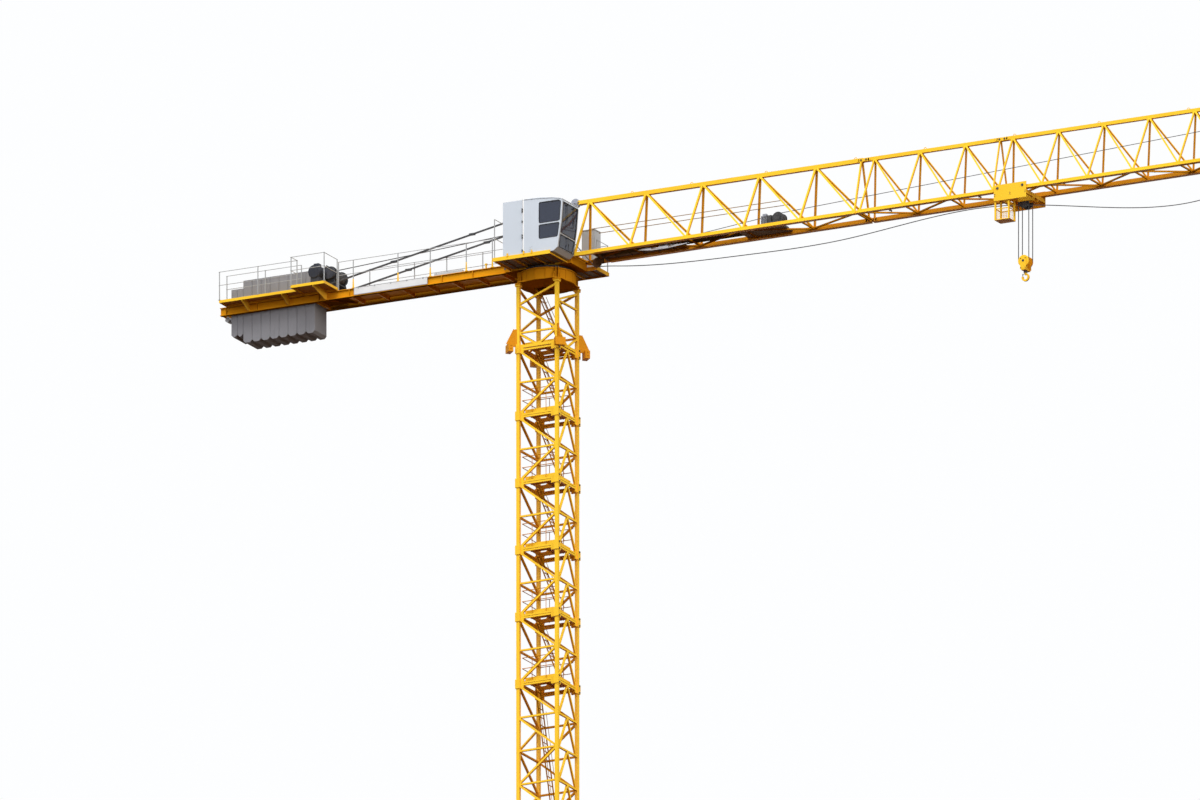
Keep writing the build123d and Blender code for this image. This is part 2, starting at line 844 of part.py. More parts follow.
def jib_side(sign, x0, bays, bay, lead, size, chord_size):
    """One flat side of the jib: a steep post and a long diagonal each bay."""
    upper = top_chord_z - chord_size / 2
    lean = Vector(0, -sign * (jib_half - lattice_shift), upper - chord_top)
    plane = Plane(origin=(0, sign * jib_half, chord_top), x_dir=(1, 0, 0),
                  z_dir=Vector(1, 0, 0).cross(lean))
    high = lean.length + size
    low = -size
    end = x0 + bays * bay
    drawing = []
    for index in range(bays):
        foot = x0 + index * bay + (size if index == 0 else 0)
        top = x0 + index * bay + lead
        last = end - size * 0.6 if index == bays - 1 else x0 + (index + 1) * bay
        drawing.append(strip((foot, low), (top, high), size))
        drawing.append(strip((top, high), (last, low), size))
    drawing.append(strip((end - size, low), (end - size, high), size * 0.8))
    panel = extrude(plane * joined(drawing), size / 2, both=True)
    room = block(x0, end, -jib_half * 2, jib_half * 2, chord_top, upper)
    return panel & room


def jib_floor(x0, bays, bay, size, first):
    """Cross bars and one diagonal in each bay between the lower chords."""
    inner = jib_half - lower_chord / 2
    drawing = []
    side = first * inner
    for index in range(bays + 1):
        x = x0 + index * bay
        x = min(max(x, x0 + size / 2), x0 + bays * bay - size / 2)
        drawing.append(strip((x, -inner), (x, inner), size))
        if index < bays:
            drawing.append(strip((x, side), (x0 + (index + 1) * bay - size / 2, -side), size))
            side = -side
    room = oblong(x0, x0 + bays * bay, -inner, inner)
    plane = Plane(origin=(0, 0, chord_z))
    return extrude(plane * (joined(drawing) & room), size / 2, both=True)


def jib_tip():
    """The end frame: a beam and two legs under the top chord, with a nose."""
    half = lower_chord / 2
    x0, x1 = outer_end, outer_end + tip_length
    upright = Plane(origin=(x0 + 25, 0, 0), x_dir=(0, 1, 0), z_dir=(1, 0, 0))
    drawing = [oblong(-jib_half - half, jib_half + half, chord_bottom, chord_top)]
    for sign in (-1, 1):
        drawing.append(strip((sign * jib_half, chord_z), (sign * lattice_shift, top_chord_z), 40))
    drawing.append(oblong(-45, 45, top_chord_z - 50, top_chord_z + half))
    frame = extrude(upright * joined(drawing), 25, both=True)
    nose = block(x0, x1, -50, 50, chord_bottom, chord_top)
    stay = bar((x0 + 30, 0, top_chord_z - 30), (x1 - 30, 0, chord_z), 30, 30, (0, 1, 0))
    room = block(x0, x1, -jib_half * 2, jib_half * 2, chord_bottom, top_chord_z + half)
    return fused([frame, nose, stay]) & room


def jib_walkway():
    """A grating on the floor lattice."""
    top = chord_z + floor_brace / 2
    return block(walk_start, walk_front, -walk_width / 2, walk_width / 2, top, top + walk_thick)


def jib_handrails():
    """Two round-cornered rails that bear on the inside of the jib sides."""
    z = turntable_z + walk_rail_height
    half = walk_rail / 2
    reach = side_face(z + half, inner_brace)
    rails = []
    for sign in (-1, 1):
        y0, y1 = sorted((sign * (reach - walk_rail), sign * reach))
        rails.append(block(walk_start, walk_front, y0, y1, z - half, z + half))
    return rails


def trolley_winch():
    """A small winch on the end of the walkway."""
    z = chord_z + floor_brace / 2 + walk_thick
    middle = walk_front - trolley_winch_drum
    rear = walk_front - winch_base_length
    motor_rear = rear + winch_motor_inset
    motor_front = motor_rear + winch_motor_length
    side = small_drum_radius + winch_motor_inset / 2
    base = block(rear, walk_front, -side, side, z, z + 25)
    drum = Plane(origin=(middle, 0, z + winch_stand), z_dir=(0, 1, 0)) * Cylinder(
        small_drum_radius, 165)
    cheeks = [block(middle - 60, middle + 60, y - 8, y + 8, z, z + winch_stand + 25)
              for y in (-90, 90)]
    motor = block(motor_rear, motor_front, -side, -14, z, z + winch_motor_height)
    shaft = block(motor_front, middle, -98, -82, z + 60, z + 110)
    return fused([base, drum, motor, shaft] + cheeks)


# Trolley

def trolley_frame():
    """A flat frame under the chords with side plates outside the runways."""
    half = trolley_length / 2
    outer = jib_half + lower_chord / 2 + runway_width + trolley_side_gap
    z1 = chord_bottom - trolley_gap
    z0 = z1 - trolley_beam
    parts = []
    for sign in (-1, 1):
        y0, y1 = sorted((sign * outer, sign * (outer + trolley_plate)))
        parts.append(block(trolley_x - half, trolley_x + half, y0, y1,
                           z0 - trolley_plate_height, chord_top + trolley_plate_rise))
    for x in (trolley_x - half + 20, trolley_x, trolley_x + half - 20):
        parts.append(block(x - 20, x + 20, -outer - 1, outer + 1, z0, z1))
    for sign in (-1, 1):
        for side in (-1, 1):
            y = sign * (sheave_offset + side * (sheave_width / 2 + 10))
            parts.append(block(trolley_x, trolley_x + half, y - 5, y + 5,
                               z0 - sheave_radius * 0.6, z1))
    return fused(parts)


def trolley_wheels():
    """Four wheels on stub axles that run on the chord ledges."""
    wheels = []
    chord_face = jib_half + lower_chord / 2
    z = chord_bottom + runway_thick + wheel_gap + wheel_radius
    y = chord_face + wheel_side_gap + wheel_width / 2
    reach = chord_face + runway_width + trolley_side_gap - y
    for sign in (-1, 1):
        for x in (trolley_x - wheel_base / 2, trolley_x + wheel_base / 2):
            plane = Plane(origin=(x, sign * y, z), x_dir=(1, 0, 0), z_dir=(0, sign, 0))
            tread = plane * Cylinder(wheel_radius, wheel_width)
            axle = plane * Cylinder(14, reach, align=LOW)
            wheels.append(fused([tread, axle]))
    return wheels


def trolley_sheaves():
    """Two rope wheels on short pins, clear of the rope that passes between."""
    return [
        Pos(0, sign * sheave_offset, 0) * wheel(
            trolley_x + sheave_x, falls_top(), sheave_radius, sheave_width, 12.0, 12.0,
            sheave_width + 10)
        for sign in (-1, 1)
    ]


def service_basket():
    """A bar basket hung under the trolley's inner end on the near side."""
    half = basket_bar / 2
    x0 = trolley_x - trolley_length / 2
    x1 = x0 + basket_length
    y0 = -(jib_half + lower_chord / 2 + runway_width)
    y1 = -110.0
    z1 = chord_bottom - trolley_gap - trolley_beam
    z0 = z1 - basket_depth
    parts = []
    for x in (x0 + half, x1 - half):
        for y in (y0 + half, y1 - half):
            parts.append(block(x - half, x + half, y - half, y + half, z0, z1))
    for level in (z0 + half / 2, z0 + basket_depth / 2, z1 - half / 2):
        for y in (y0 + half, y1 - half):
            parts.append(block(x0, x1, y - half / 2, y + half / 2, level - half / 2, level + half / 2))
        for x in (x0 + half, x1 - half):
            parts.append(block(x - half / 2, x + half / 2, y0, y1, level - half / 2, level + half / 2))
    parts.append(block(x0, x1, y0, y1, z0, z0 + 6))
    return fused(parts)


def hook_falls():
    """Four straight rope parts from the trolley wheels to the hook block."""
    ropes = []
    z1 = falls_top()
    for sign in (-1, 1):
        for side in (-1, 1):
            x = trolley_x + sheave_x + side * (sheave_radius + rope_radius + rope_gap)
            y = sign * sheave_offset
            ropes.append(rod((x, y, z1 - fall_length), (x, y, z1), rope_radius))
    return ropes


def hook_block():
    """Two rope wheels between cheek plates over a swivel and a hook."""
    z = falls_top() - fall_length
    x = trolley_x + sheave_x
    parts = []
    for sign in (-1, 1):
        parts.append(Pos(0, sign * sheave_offset, 0) * wheel(
            x, z, sheave_radius, sheave_width, 12.0, 12.0, sheave_width + 30))
        for side in (-1, 1):
            y = sign * sheave_offset + side * (sheave_width / 2 + 8)
            parts.append(block(x - 60, x + 60, y - 6, y + 6, z - 150, z + 60))
    parts.append(block(x - 45, x + 45, -sheave_offset - 25, sheave_offset + 25, z - 170, z - 125))
    parts.append(rod((x, 0, z - 235), (x, 0, z - 160), 18))
    upright = Plane(origin=(x, 0, z - 290), x_dir=(1, 0, 0), z_dir=(0, -1, 0))
    ring = Circle(74) - Circle(42) - oblong(-90, -10, 14, 64)
    parts.append(extrude(upright * ring, 17, both=True))
    return fused(parts)


def strip(start, end, width):
    """A flat bar between two points of a drawing, run on by half its width."""
    (x0, y0), (x1, y1) = start, end
    turn = Rot(0, 0, degrees(atan2(y1 - y0, x1 - x0)))
    length = hypot(x1 - x0, y1 - y0)
    return Pos((x0 + x1) / 2, (y0 + y1) / 2) * turn * Rectangle(length + width, width)


def oblong(x0, x1, y0, y1):
    """A rectangle of a drawing between two corners."""
    return Pos((x0 + x1) / 2, (y0 + y1) / 2) * Rectangle(x1 - x0, y1 - y0)


def joined(drawing):
    """One outline made of the bars of a drawing."""
    whole = Sketch()
    for piece in drawing:
        whole = whole + piece
    return whole


def section_side(side, z0, bays, turns):
    """One side of a mast section: a strut at each level, braces in each bay.

    A side with no turns has an inverted V in each bay.
    """
    z1 = z0 + bays * bay_height
    levels = [z1 - index * bay_height for index in range(bays + 1)]
    levels[0] -= strut_pair / 2
    levels[-1] += strut_pair / 2
    bars = [(-half_mast, level, half_mast, level, strut_size) for level in levels]
    for index, (high, low) in enumerate(zip(levels, levels[1:])):
        if turns:
            here = turns[index] * half_mast
            bars.append((here, high, -here, low, brace_size))
        else:
            reach = half_mast - leg_size
            bars.append((0, high, -reach, low, strut_size))
            bars.append((0, high, reach, low, strut_size))
    return side_panel(side, z0, z1, bars, joint_block, joint_block_height)


def wheel(x, z, radius, width, groove, shaft, shaft_length):
    """A grooved rope wheel on its shaft, turning about the Y direction."""
    half = width / 2
    rim = [
        (shaft, -shaft_length / 2), (shaft, -half), (radius + groove, -half),
        (radius, -half / 2), (radius, half / 2), (radius + groove, half), (shaft, half),
        (shaft, shaft_length / 2), (0, shaft_length / 2), (0, -shaft_length / 2)]
    face = Plane.XY * make_face(Polyline(*rim, close=True))
    return Pos(x, 0, z) * revolve(face, Axis.Y)


def head_sheave():
    """The wheel on its shaft between the two shelves of the head."""
    clear = (head_half - head_bar * 0.35) * 2
    return wheel(head_sheave_x, turntable_z + sheave_shelf, head_sheave_radius, 30.0,
                 15.0, 14.0, clear - 2 * bearing_gap)


def root_sheave():
    """The wheel under the jib's foot, hung from a cross bar by two cheeks."""
    z = chord_z - root_sheave_drop
    inner = jib_half - lower_chord / 2
    bar_half = floor_brace / 2
    sheave = wheel(root_sheave_x, z, root_sheave_radius, 26.0, 12.0, 12.0, 46.0)
    bar_x = root_sheave_x + root_bar_offset
    top = chord_z - bar_half
    parts = [sheave, block(bar_x - bar_half, bar_x + bar_half, -inner, inner,
                           top - floor_brace, top)]
    for side in (-1, 1):
        y0, y1 = sorted((side * 18.0, side * 26.0))
        parts.append(block(root_sheave_x - 30, bar_x + bar_half, y0, y1, z - 30, z + 50))
        parts.append(block(bar_x - bar_half, bar_x + bar_half, y0, y1, z, top))
    return fused(parts)


def tie_bar(side):
    """A flat tie from a lug on the beam to the back of the head post."""
    y = side * tie_half
    apex = turntable_z + head_apex - head_bar / 2
    foot = beam_top + tie_lug
    half = tie_size / 2
    lug = block(tie_foot_x - tie_size, tie_foot_x + tie_size, y - half, y + half,
                beam_top, foot + tie_size)
    line = bar((tie_foot_x, y, foot), (head_apex_x, y, apex), tie_size, tie_size, (0, 1, 0))
    post = block(head_apex_x - head_bar / 2, head_apex_x + head_bar, y - 100, y + 100,
                 apex - 200, apex + 200)
    return fused([lug, line]) - post


def side_face(z, size):
    """How far from the middle the inner face of a jib side is at a height."""
    rise = top_chord_z - inner_top_chord / 2 - chord_top
    run = jib_half - lattice_shift
    slope = run / rise
    return jib_half - (z - chord_top) * slope - size / 2 * hypot(1, slope)


def falls_top():
    """The height of the trolley's rope wheels."""
    return chord_bottom - trolley_gap - trolley_beam - sheave_drop


def tangent(c1, r1, s1, c2, r2, s2):
    """Where a straight rope leaves one wheel and meets the next.

    s1 and s2 say on which side of each wheel the rope runs.
    """
    dx = c2[0] - c1[0]
    dz = c2[1] - c1[1]
    turn = atan2(dz, dx) + acos((s1 * r1 - s2 * r2) / hypot(dx, dz))
    n = (cos(turn), sin(turn))
    return ((c1[0] + s1 * r1 * n[0], c1[1] + s1 * r1 * n[1]),
            (c2[0] + s2 * r2 * n[0], c2[1] + s2 * r2 * n[1]))


def hoist_rope():
    """From the drum over the head wheel, under the root wheel and to the tip."""
    drum = (winch_x, turntable_z + winch_axis)
    head = (head_sheave_x, turntable_z + sheave_shelf)
    root = (root_sheave_x, chord_z - root_sheave_drop)
    drum_r = winch_drum_radius + rope_radius + rope_gap
    head_r = head_sheave_radius + rope_radius + rope_gap
    root_r = root_sheave_radius + rope_radius + rope_gap
    a, b = tangent(drum, drum_r, 1, head, head_r, 1)
    c, d = tangent(head, head_r, 1, root, root_r, -1)
    turn = (atan2(b[1] - head[1], b[0] - head[0]) + atan2(c[1] - head[1], c[0] - head[0])) / 2
    over = (head[0] + head_r * cos(turn), head[1] + head_r * sin(turn))
    e = (root[0], root[1] - root_r)
    turn = (atan2(d[1] - root[1], d[0] - root[0]) + atan2(e[1] - root[1], e[0] - root[0])) / 2
    under = (root[0] + root_r * cos(turn), root[1] + root_r * sin(turn))
    sag = [(x, turntable_z + z) for x, z in rope_sag]
    end = (outer_end + 20, chord_bottom - rope_radius - rope_gap)
    to3 = lambda p: (p[0], 0, p[1])
    path = [
        Line(to3(a), to3(b)),
        ThreePointArc(to3(b), to3(over), to3(c)),
        Line(to3(c), to3(d)),
        ThreePointArc(to3(d), to3(under), to3(e)),
        Spline(*[to3(p) for p in [e] + sag + [end]], tangents=[(1, 0, 0), (1, 0, 0.3)]),
    ]
    wire = Wire(path)
    section = Plane(origin=to3(a), z_dir=path[0] % 0) * Circle(rope_radius)
    return sweep(section, path=wire)


def trolley_ropes():
    """Back to the jib's foot and out to the tip from the small winch."""
    drum_x = walk_front - trolley_winch_drum
    walk_top = chord_z + floor_brace / 2 + walk_thick
    axis = walk_top + winch_stand
    reach = small_drum_radius + trolley_rope_radius + rope_gap
    rear_z = walk_top + trolley_rope_radius + rope_gap
    fall = atan2(axis + reach - rear_z, drum_x - rear_rope_end)
    rise = atan2(front_rope_slope, 1)
    front = rod((drum_x - reach * sin(rise), 0, axis + reach * cos(rise)),
                (outer_end + tip_length, 0,
                 axis + reach + front_rope_slope * (outer_end + tip_length - drum_x)),
                trolley_rope_radius)
    return [
        (front - jib_tip()).solids().sort_by(Axis.X)[0],
        rod((rear_rope_end, rear_rope_offset, rear_z),
            (drum_x - reach * sin(fall), rear_rope_offset, axis + reach * cos(fall)),
            trolley_rope_radius),
    ]


def upper_railings():
    """The rails of the turntable, the counter-jib and its tail platform."""
    half = rail_size / 2
    edge = platform_plate + half + 1
    deck_top = beam_top + tail_deck_edge
    near_x = near_platform_rear + edge
    far_x = far_platform_rear + edge
    far_front = far_platform_front - edge
    far_y = far_platform_reach - edge
    clear_y = jib_half + lower_chord / 2 + rail_size * 1.5
    narrow_y = half - tail_deck_narrow
    wide_y = half - tail_deck_wide
    rear = tail_deck_rear + half
    step = tail_deck_step + half
    front = tail_deck_front - half
    screen_top = platform_top + screen_rail_height
    platform_rail = platform_top + rail_height
    tail_rail = deck_top + rail_height
    return [
        railing([(near_x, edge - near_platform_reach), (near_x, -turntable_half - edge)],
                platform_top, screen_top),
        railing([(far_x, turntable_half + edge), (far_x, far_y)], platform_top, platform_rail),
        railing([(far_x, far_y), (0, far_y), (far_front, far_y)],
                platform_top, platform_rail, False),
        railing([(far_front, far_y), (far_front, clear_y)], platform_top, platform_rail, False),
        railing([(x, -rail_half) for x in (tail_deck_front + rail_size,) + rail_posts],
                beam_top, beam_top + rail_height),
        railing([(x, rail_half) for x in rail_posts], beam_top, beam_top + rail_height),
        railing([(rear, narrow_y), (tail_post_x, narrow_y), (step, narrow_y)],
                deck_top, tail_rail),
        railing([(step, narrow_y), (step, wide_y)], deck_top, tail_rail, False),
        railing([(step, wide_y), (front, wide_y)], deck_top, tail_rail, False),
        railing([(front, wide_y), (front, -rail_half - rail_size)], deck_top, tail_rail, False),
        railing([(rear, -rail_half), (tail_post_x, -rail_half), (step - 60, -rail_half)],
                deck_top, tail_rail),
    ]


def jib_joint_lugs():
    """Short lugs that join the chords of neighbouring sections."""
    lugs = []
    for x in (inner_end, middle_end):
        for y, z, size in ((0, top_chord_z, outer_top_chord), (-jib_half, chord_z, lower_chord),
                           (jib_half, chord_z, lower_chord)):
            half = size * 0.35
            lugs.append(block(x, x + section_gap, y - half, y + half, z - half, z + half))
    for y in (-jib_half, jib_half):
        lugs.append(block(turntable_front, root_x, y - 20, y + 20, chord_z - 25, chord_z + 25))
    return lugs


def head_link():
    """Plates from the head to an eye with its pin hole, and a fork on to the chord."""
    level = turntable_z + head_apex - head_bar / 2
    half = link_eye_width / 2
    post = head_apex_x + head_bar / 2
    near_pin = link_pin * 1.5
    upright = Plane(origin=(link_eye_x, 0, top_chord_z), x_dir=(1, 0, 0), z_dir=(0, -1, 0))
    parts = [extrude(upright * (Circle(link_eye_radius) - Circle(link_pin)), half, both=True)]
    for side in (-1, 1):
        y = side * (half - link_plate / 2)
        parts.append(bar((post, y, level), (link_eye_x - near_pin, y, top_chord_z),
                         link_plate, link_pin * 1.8, (0, 1, 0), link_plate))
        parts.append(block(link_eye_x + near_pin, root_x, y - link_plate / 2,
                           y + link_plate / 2, top_chord_z - link_pin, top_chord_z + link_pin))
    low = min(level, top_chord_z) - link_eye_radius
    high = max(level, top_chord_z) + link_eye_radius
    return fused(parts) & block(post, root_x, -half, half, low, high)


def main():
    write("foundation_frame", foundation_frame())
    write("base_section_legs", *section_legs(base_foot, base_top))
    feet = [base_top + index * section_height for index in range(section_count)]
    standard = []
    for foot in feet:
        standard += section_legs(foot, foot + section_height)
    write("standard_section_legs", *standard)
    write("head_section_legs", *head_legs())
    alternate = [-1 if index % 2 == 0 else 1 for index in range(base_bays)]
    base_turns = {"near": [-1, -1, 1, -1, 1, -1], "far": alternate,
                  "left": alternate, "right": []}
    head_turns = {"near": -1, "far": -1, "left": 1, "right": -1}
    for side, turns in base_turns.items():
        ground_beams = block(-mast_pitch, mast_pitch, -mast_pitch, mast_pitch, 0,
                             foundation_beam_height)
        panels = [section_side(side, base_foot, base_bays, turns) - ground_beams]
        for foot in feet:
            panels.append(section_side(side, foot, section_bays, turns and alternate))
        panels.append(head_panel(side, head_turns[side]))
        write(side + "_side_bracing", *panels)
    write("climbing_brackets", *[climbing_bracket(x, y) for x, y in corners(half_mast)])
    joints = feet + [head_foot_z]
    write("mast_platforms", *[mast_platform(joint) for joint in joints])
    rise = strut_pair / 2 + strut_size / 2 + bearer_size + deck_thick
    heads = [joint + rise for joint in joints]
    heads.append(head_top + ring_plate_thick)
    floors = [foundation_beam_height] + heads[:-1]
    write("mast_ladders", *[ladder(low, high) for low, high in zip(floors, heads)])
    write("ring_support", ring_support())
    write("slewing_ring", slewing_gear())

    write("turntable", turntable())
    cab_lip = block(cab_rear - screen_length, cab_brow, -cab_outer, cab_width - cab_outer + 1,
                    platform_top, platform_top + cab_height)
    write("side_platforms",
          side_platform(-1, near_platform_rear, near_platform_front, near_platform_reach, cab_lip),
          side_platform(1, far_platform_rear, far_platform_front, far_platform_reach, cab_lip))
    shell, panes = cab()
    write("cab_shell", shell)
    write("cab_windows", *panes)
    write("side_screen", block(
        cab_rear - screen_length, cab_rear, -cab_outer, screen_thick - cab_outer,
        platform_top, platform_top + cab_height))
    write("switch_cabinet", block(
        cabinet_x, cabinet_x + cabinet_size, cabinet_x, cabinet_x + cabinet_size,
        platform_top, platform_top + cabinet_height))
    write("tower_head", tower_head())
    write("head_sheave", head_sheave())
    write("head_link", head_link())
    write("tie_bars", tie_bar(-1), tie_bar(1))

    write("counter_jib_beams", i_beam(-beam_half), i_beam(beam_half))
    write("counter_jib_floor", counter_jib_floor(), *tail_frame())
    write("tail_platform", tail_platform())
    write("ballast_slabs", *ballast())
    write("side_board", block(
        board_rear, board_front, -beam_half - beam_flange / 2 - board_thick,
        -beam_half - beam_flange / 2, beam_top - board_height - 4, beam_top - 4))
    write("upper_railings", *upper_railings())
    write("winch_frame", winch_frame())
    write("hoist_motor", hoist_motor())
    write("hoist_drum", hoist_drum())

    spans = (
        (root_x, inner_bays, inner_bay, inner_lead, inner_brace, inner_top_chord, 1),
        (middle_start, middle_bays, outer_bay, outer_lead, outer_brace, outer_top_chord, -1),
        (outer_start, outer_bays, outer_bay, outer_lead, outer_brace, outer_top_chord, 1),
    )
    chords = []
    for x0, bays, bay, _, _, size, _ in spans:
        end = x0 + bays * bay
        chords.append(top_chord(x0, end, size))
        chords += lower_chords(x0, end, max(x0, runway_start))
    write("jib_chords", *chords)
    for name, sign in (("jib_near_bracing", -1), ("jib_far_bracing", 1)):
        write(name, *[jib_side(sign, x0, bays, bay, lead, size, chord)
                      for x0, bays, bay, lead, size, chord, _ in spans])
    write("jib_floor_bracing", *[jib_floor(x0, bays, bay, floor_brace, first)
                                 for x0, bays, bay, _, _, _, first in spans])
    write("jib_joint_lugs", *jib_joint_lugs())
    write("jib_tip", jib_tip())
    write("root_sheave", root_sheave())
    write("jib_walkway", jib_walkway())
    write("jib_handrails", *jib_handrails())
    write("trolley_winch", trolley_winch())
    write("hoist_rope", hoist_rope())
    write("trolley_ropes", *trolley_ropes())

    write("trolley_frame", trolley_frame())
    write("trolley_wheels", *trolley_wheels())
    write("trolley_sheaves", *trolley_sheaves())
    write("service_basket", service_basket())
    write("hook_falls", *hook_falls())
    write("hook_block", hook_block())


main()
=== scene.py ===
import bmesh
import bpy
import json
from math import cos, pi, radians, sin
from mathutils import Matrix, Vector


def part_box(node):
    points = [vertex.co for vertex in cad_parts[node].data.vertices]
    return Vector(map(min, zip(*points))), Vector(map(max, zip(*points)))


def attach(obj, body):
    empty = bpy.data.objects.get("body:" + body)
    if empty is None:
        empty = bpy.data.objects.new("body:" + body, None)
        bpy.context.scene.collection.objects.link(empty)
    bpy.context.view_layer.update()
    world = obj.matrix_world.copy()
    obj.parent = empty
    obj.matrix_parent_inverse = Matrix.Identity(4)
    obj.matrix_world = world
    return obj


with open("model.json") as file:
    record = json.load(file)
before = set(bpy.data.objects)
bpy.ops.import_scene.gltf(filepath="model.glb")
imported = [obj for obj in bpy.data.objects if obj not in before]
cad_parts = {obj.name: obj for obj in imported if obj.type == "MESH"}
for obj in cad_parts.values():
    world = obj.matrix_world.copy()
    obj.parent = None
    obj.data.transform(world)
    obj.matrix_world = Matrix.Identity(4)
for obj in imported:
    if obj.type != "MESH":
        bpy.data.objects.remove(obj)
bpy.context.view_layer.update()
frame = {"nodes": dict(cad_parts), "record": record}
nodes = frame["nodes"]


def middle_of(node):
    """The middle of a piece of the frame."""
    low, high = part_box(node)
    return (low + high) / 2


def row(start, step, count):
    """Places or turns at even steps."""
    return [start + step * index for index in range(count)]


# Camera: the photo's view, a parallel one, from low on the near side
VIEW_TURN = radians(27.5)
VIEW_RISE = radians(16.8)
VIEW_TARGET = Vector((1.051, 0.0, 8.986))
VIEW_WIDTH = 21.43
VIEW_BACK = 60.0
VIEW_REACH = 400.0

# Light and floor
SKY_WHITE = (0.985, 0.992, 1.0, 1.0)
SKY_LIGHT = 0.32
FRONT_LIGHT = 2.0
FRONT = (0.3, -0.7, 0.8)
SUNS = (("key", (16, -60, 80), 1.1, 25.0, (1.0, 0.97, 0.92)),
        ("low", (60, -18, 16), 0.7, 18.0, (1.0, 0.84, 0.64)))
SUN_TARGET = Vector((0, 0, 8))
FLOOR_HALF = 120.0
FLOOR_PALE = (0.86, 0.86, 0.85, 1)
BOUNCE = (0.07, 0.036, 0.018, 1.0)

# Places on the crane, in metres; many are read from the frame
UP = Vector((0, 0, 1))
LEGS_LOW, LEGS_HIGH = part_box("standard_section_legs")
BLOCK_HALF = 0.047
LEG = LEGS_HIGH.x - BLOCK_HALF
SECTIONS = 5
SECTION = (LEGS_HIGH.z - LEGS_LOW.z) / SECTIONS
JOINTS = row(LEGS_LOW.z, SECTION, SECTIONS + 1)
FOOT_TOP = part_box("base_section_legs")[0].z
MAST_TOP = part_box("head_section_legs")[1].z
DECK_TOP = 0.064
LADDER_ENDS = [0.11] + [joint + DECK_TOP for joint in JOINTS] + [MAST_TOP + 0.02]
BEAM_LOW, BEAM_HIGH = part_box("counter_jib_beams")
RAIL_POSTS = (-3.75, -2.85, -2.2, -1.475, -0.95)
TIE_FOOT = Vector((-4.53, 0, BEAM_HIGH.z + 0.1))
TIE_HEAD = Vector((0.25, 0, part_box("tower_head")[1].z - 0.035))
WINCH = middle_of("hoist_drum")
DRUM_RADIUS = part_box("hoist_drum")[1].z - WINCH.z
MOTOR = Vector((WINCH.x - 0.145, 0, WINCH.z - 0.015))
SLAB_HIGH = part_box("ballast_slabs")[1]
SLAB_TOPS = ([(x, SLAB_HIGH.z) for x in row(SLAB_HIGH.x - 0.09025, -0.1805, 8)]
             + [(x, SLAB_HIGH.z - 0.14) for x in row(SLAB_HIGH.x - 1.504, -0.12, 2)])
TABLE_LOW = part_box("turntable")[0].z
TABLE_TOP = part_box("tower_head")[0].z
HEAD_WHEEL = Vector((0.15, 0, middle_of("head_sheave").z))
TRAY_LOW, TRAY_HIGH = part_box("side_platforms")
TRAY_BACK = -0.54
TRAY_GAP = 0.324
CAB_LOW, CAB_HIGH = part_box("cab_shell")
CAB_PANES = (((0.325, 0.255), (0.704, 0.255), (0.744, 0.52), (0.325, 0.52)),
             ((0.325, 0.545), (0.746, 0.545), (0.773, 0.89), (0.748, 0.925), (0.325, 0.94)))
FRONT_PANES = (((0.717, 0.07), (0.7385, 0.3)),
               ((0.744, 0.335), (0.772, 0.517), (0.8015, 0.897)))
SEAL_CORNER = 0.032
SEAL_WIDTH = 0.008
JIB_HALF = 0.2875
CHORD_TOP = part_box("jib_chords")[1].z
CHORD_Z = middle_of("jib_floor_bracing").z
RUNWAY_Z = CHORD_Z - 0.036
JIB_JOINTS = (6.38, 9.165)
JOINT_CHORDS = ((0, CHORD_TOP - 0.04, 0.033), (-JIB_HALF, CHORD_Z, 0.034),
                (JIB_HALF, CHORD_Z, 0.034))
JIB_ROOT, ROOT_BAY, OUTER_BAY = 0.66, 1.14, 0.915
TOP_NODES = ([(x, 0.038) for x in row(JIB_ROOT + 0.19, ROOT_BAY, 5)]
             + [(x, 0.033) for x in row(6.59, OUTER_BAY, 3) + row(9.375, OUTER_BAY, 6)])
WALK_LOW, WALK_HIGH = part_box("jib_walkway")
WALK_DRUM = Vector((4.67, 0, WALK_HIGH.z + 0.17))
TRUCK = Vector((middle_of("trolley_frame").x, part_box("trolley_frame")[1].y,
                middle_of("trolley_wheels").z))
HOOK_LOW, HOOK_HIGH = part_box("hook_block")
HOOK_X = middle_of("hook_block").x

YELLOW = (0.95, 0.62, 0.04)
YELLOW_WORN = (0.88, 0.5, 0.025)
BEAM_YELLOW = (0.86, 0.38, 0.013)
# Tones of painted shade: the yellow's colour on faces that look in or down, and on parts that lie
# in shade
LEG_SHADE = (0.85, 0.45, 0.05)
DECK_SHADE = (0.3, 0.1, 0.005)
TAIL_SHADE = (0.42, 0.19, 0.05)
ORANGE = (0.6, 0.235, 0.008)
SHADED_YELLOW = (0.66, 0.27, 0.009)
GRIME = (0.2, 0.1, 0.02)
CAB_PAINT = (0.57, 0.63, 0.71)
CAB_SHADE = (0.42, 0.42, 0.43)
CAB_DIRT = (0.3, 0.31, 0.32)
CONCRETE = (0.205, 0.207, 0.228)
HOLLOW = (0.13, 0.13, 0.13, 1)
ZINC = (0.36, 0.37, 0.38)
SLATE = (0.036, 0.04, 0.055)
DARK = (0.035, 0.035, 0.037)

# What turns a place on the crane into the way out of it: faces that look out along it keep the lit
# colour, faces that look back get painted shade
SIDEWAYS = (0, 1, 0)
ALL_ROUND = (1, 1, 0)
TO_THE_MAST = (-0.05, 1, 0)


def shade(colour, factor, lift=0.0):
    """A colour made darker or paler."""
    return [min(1.0, part * factor + lift) for part in colour]


# Finishes: what several finishes share is a node group

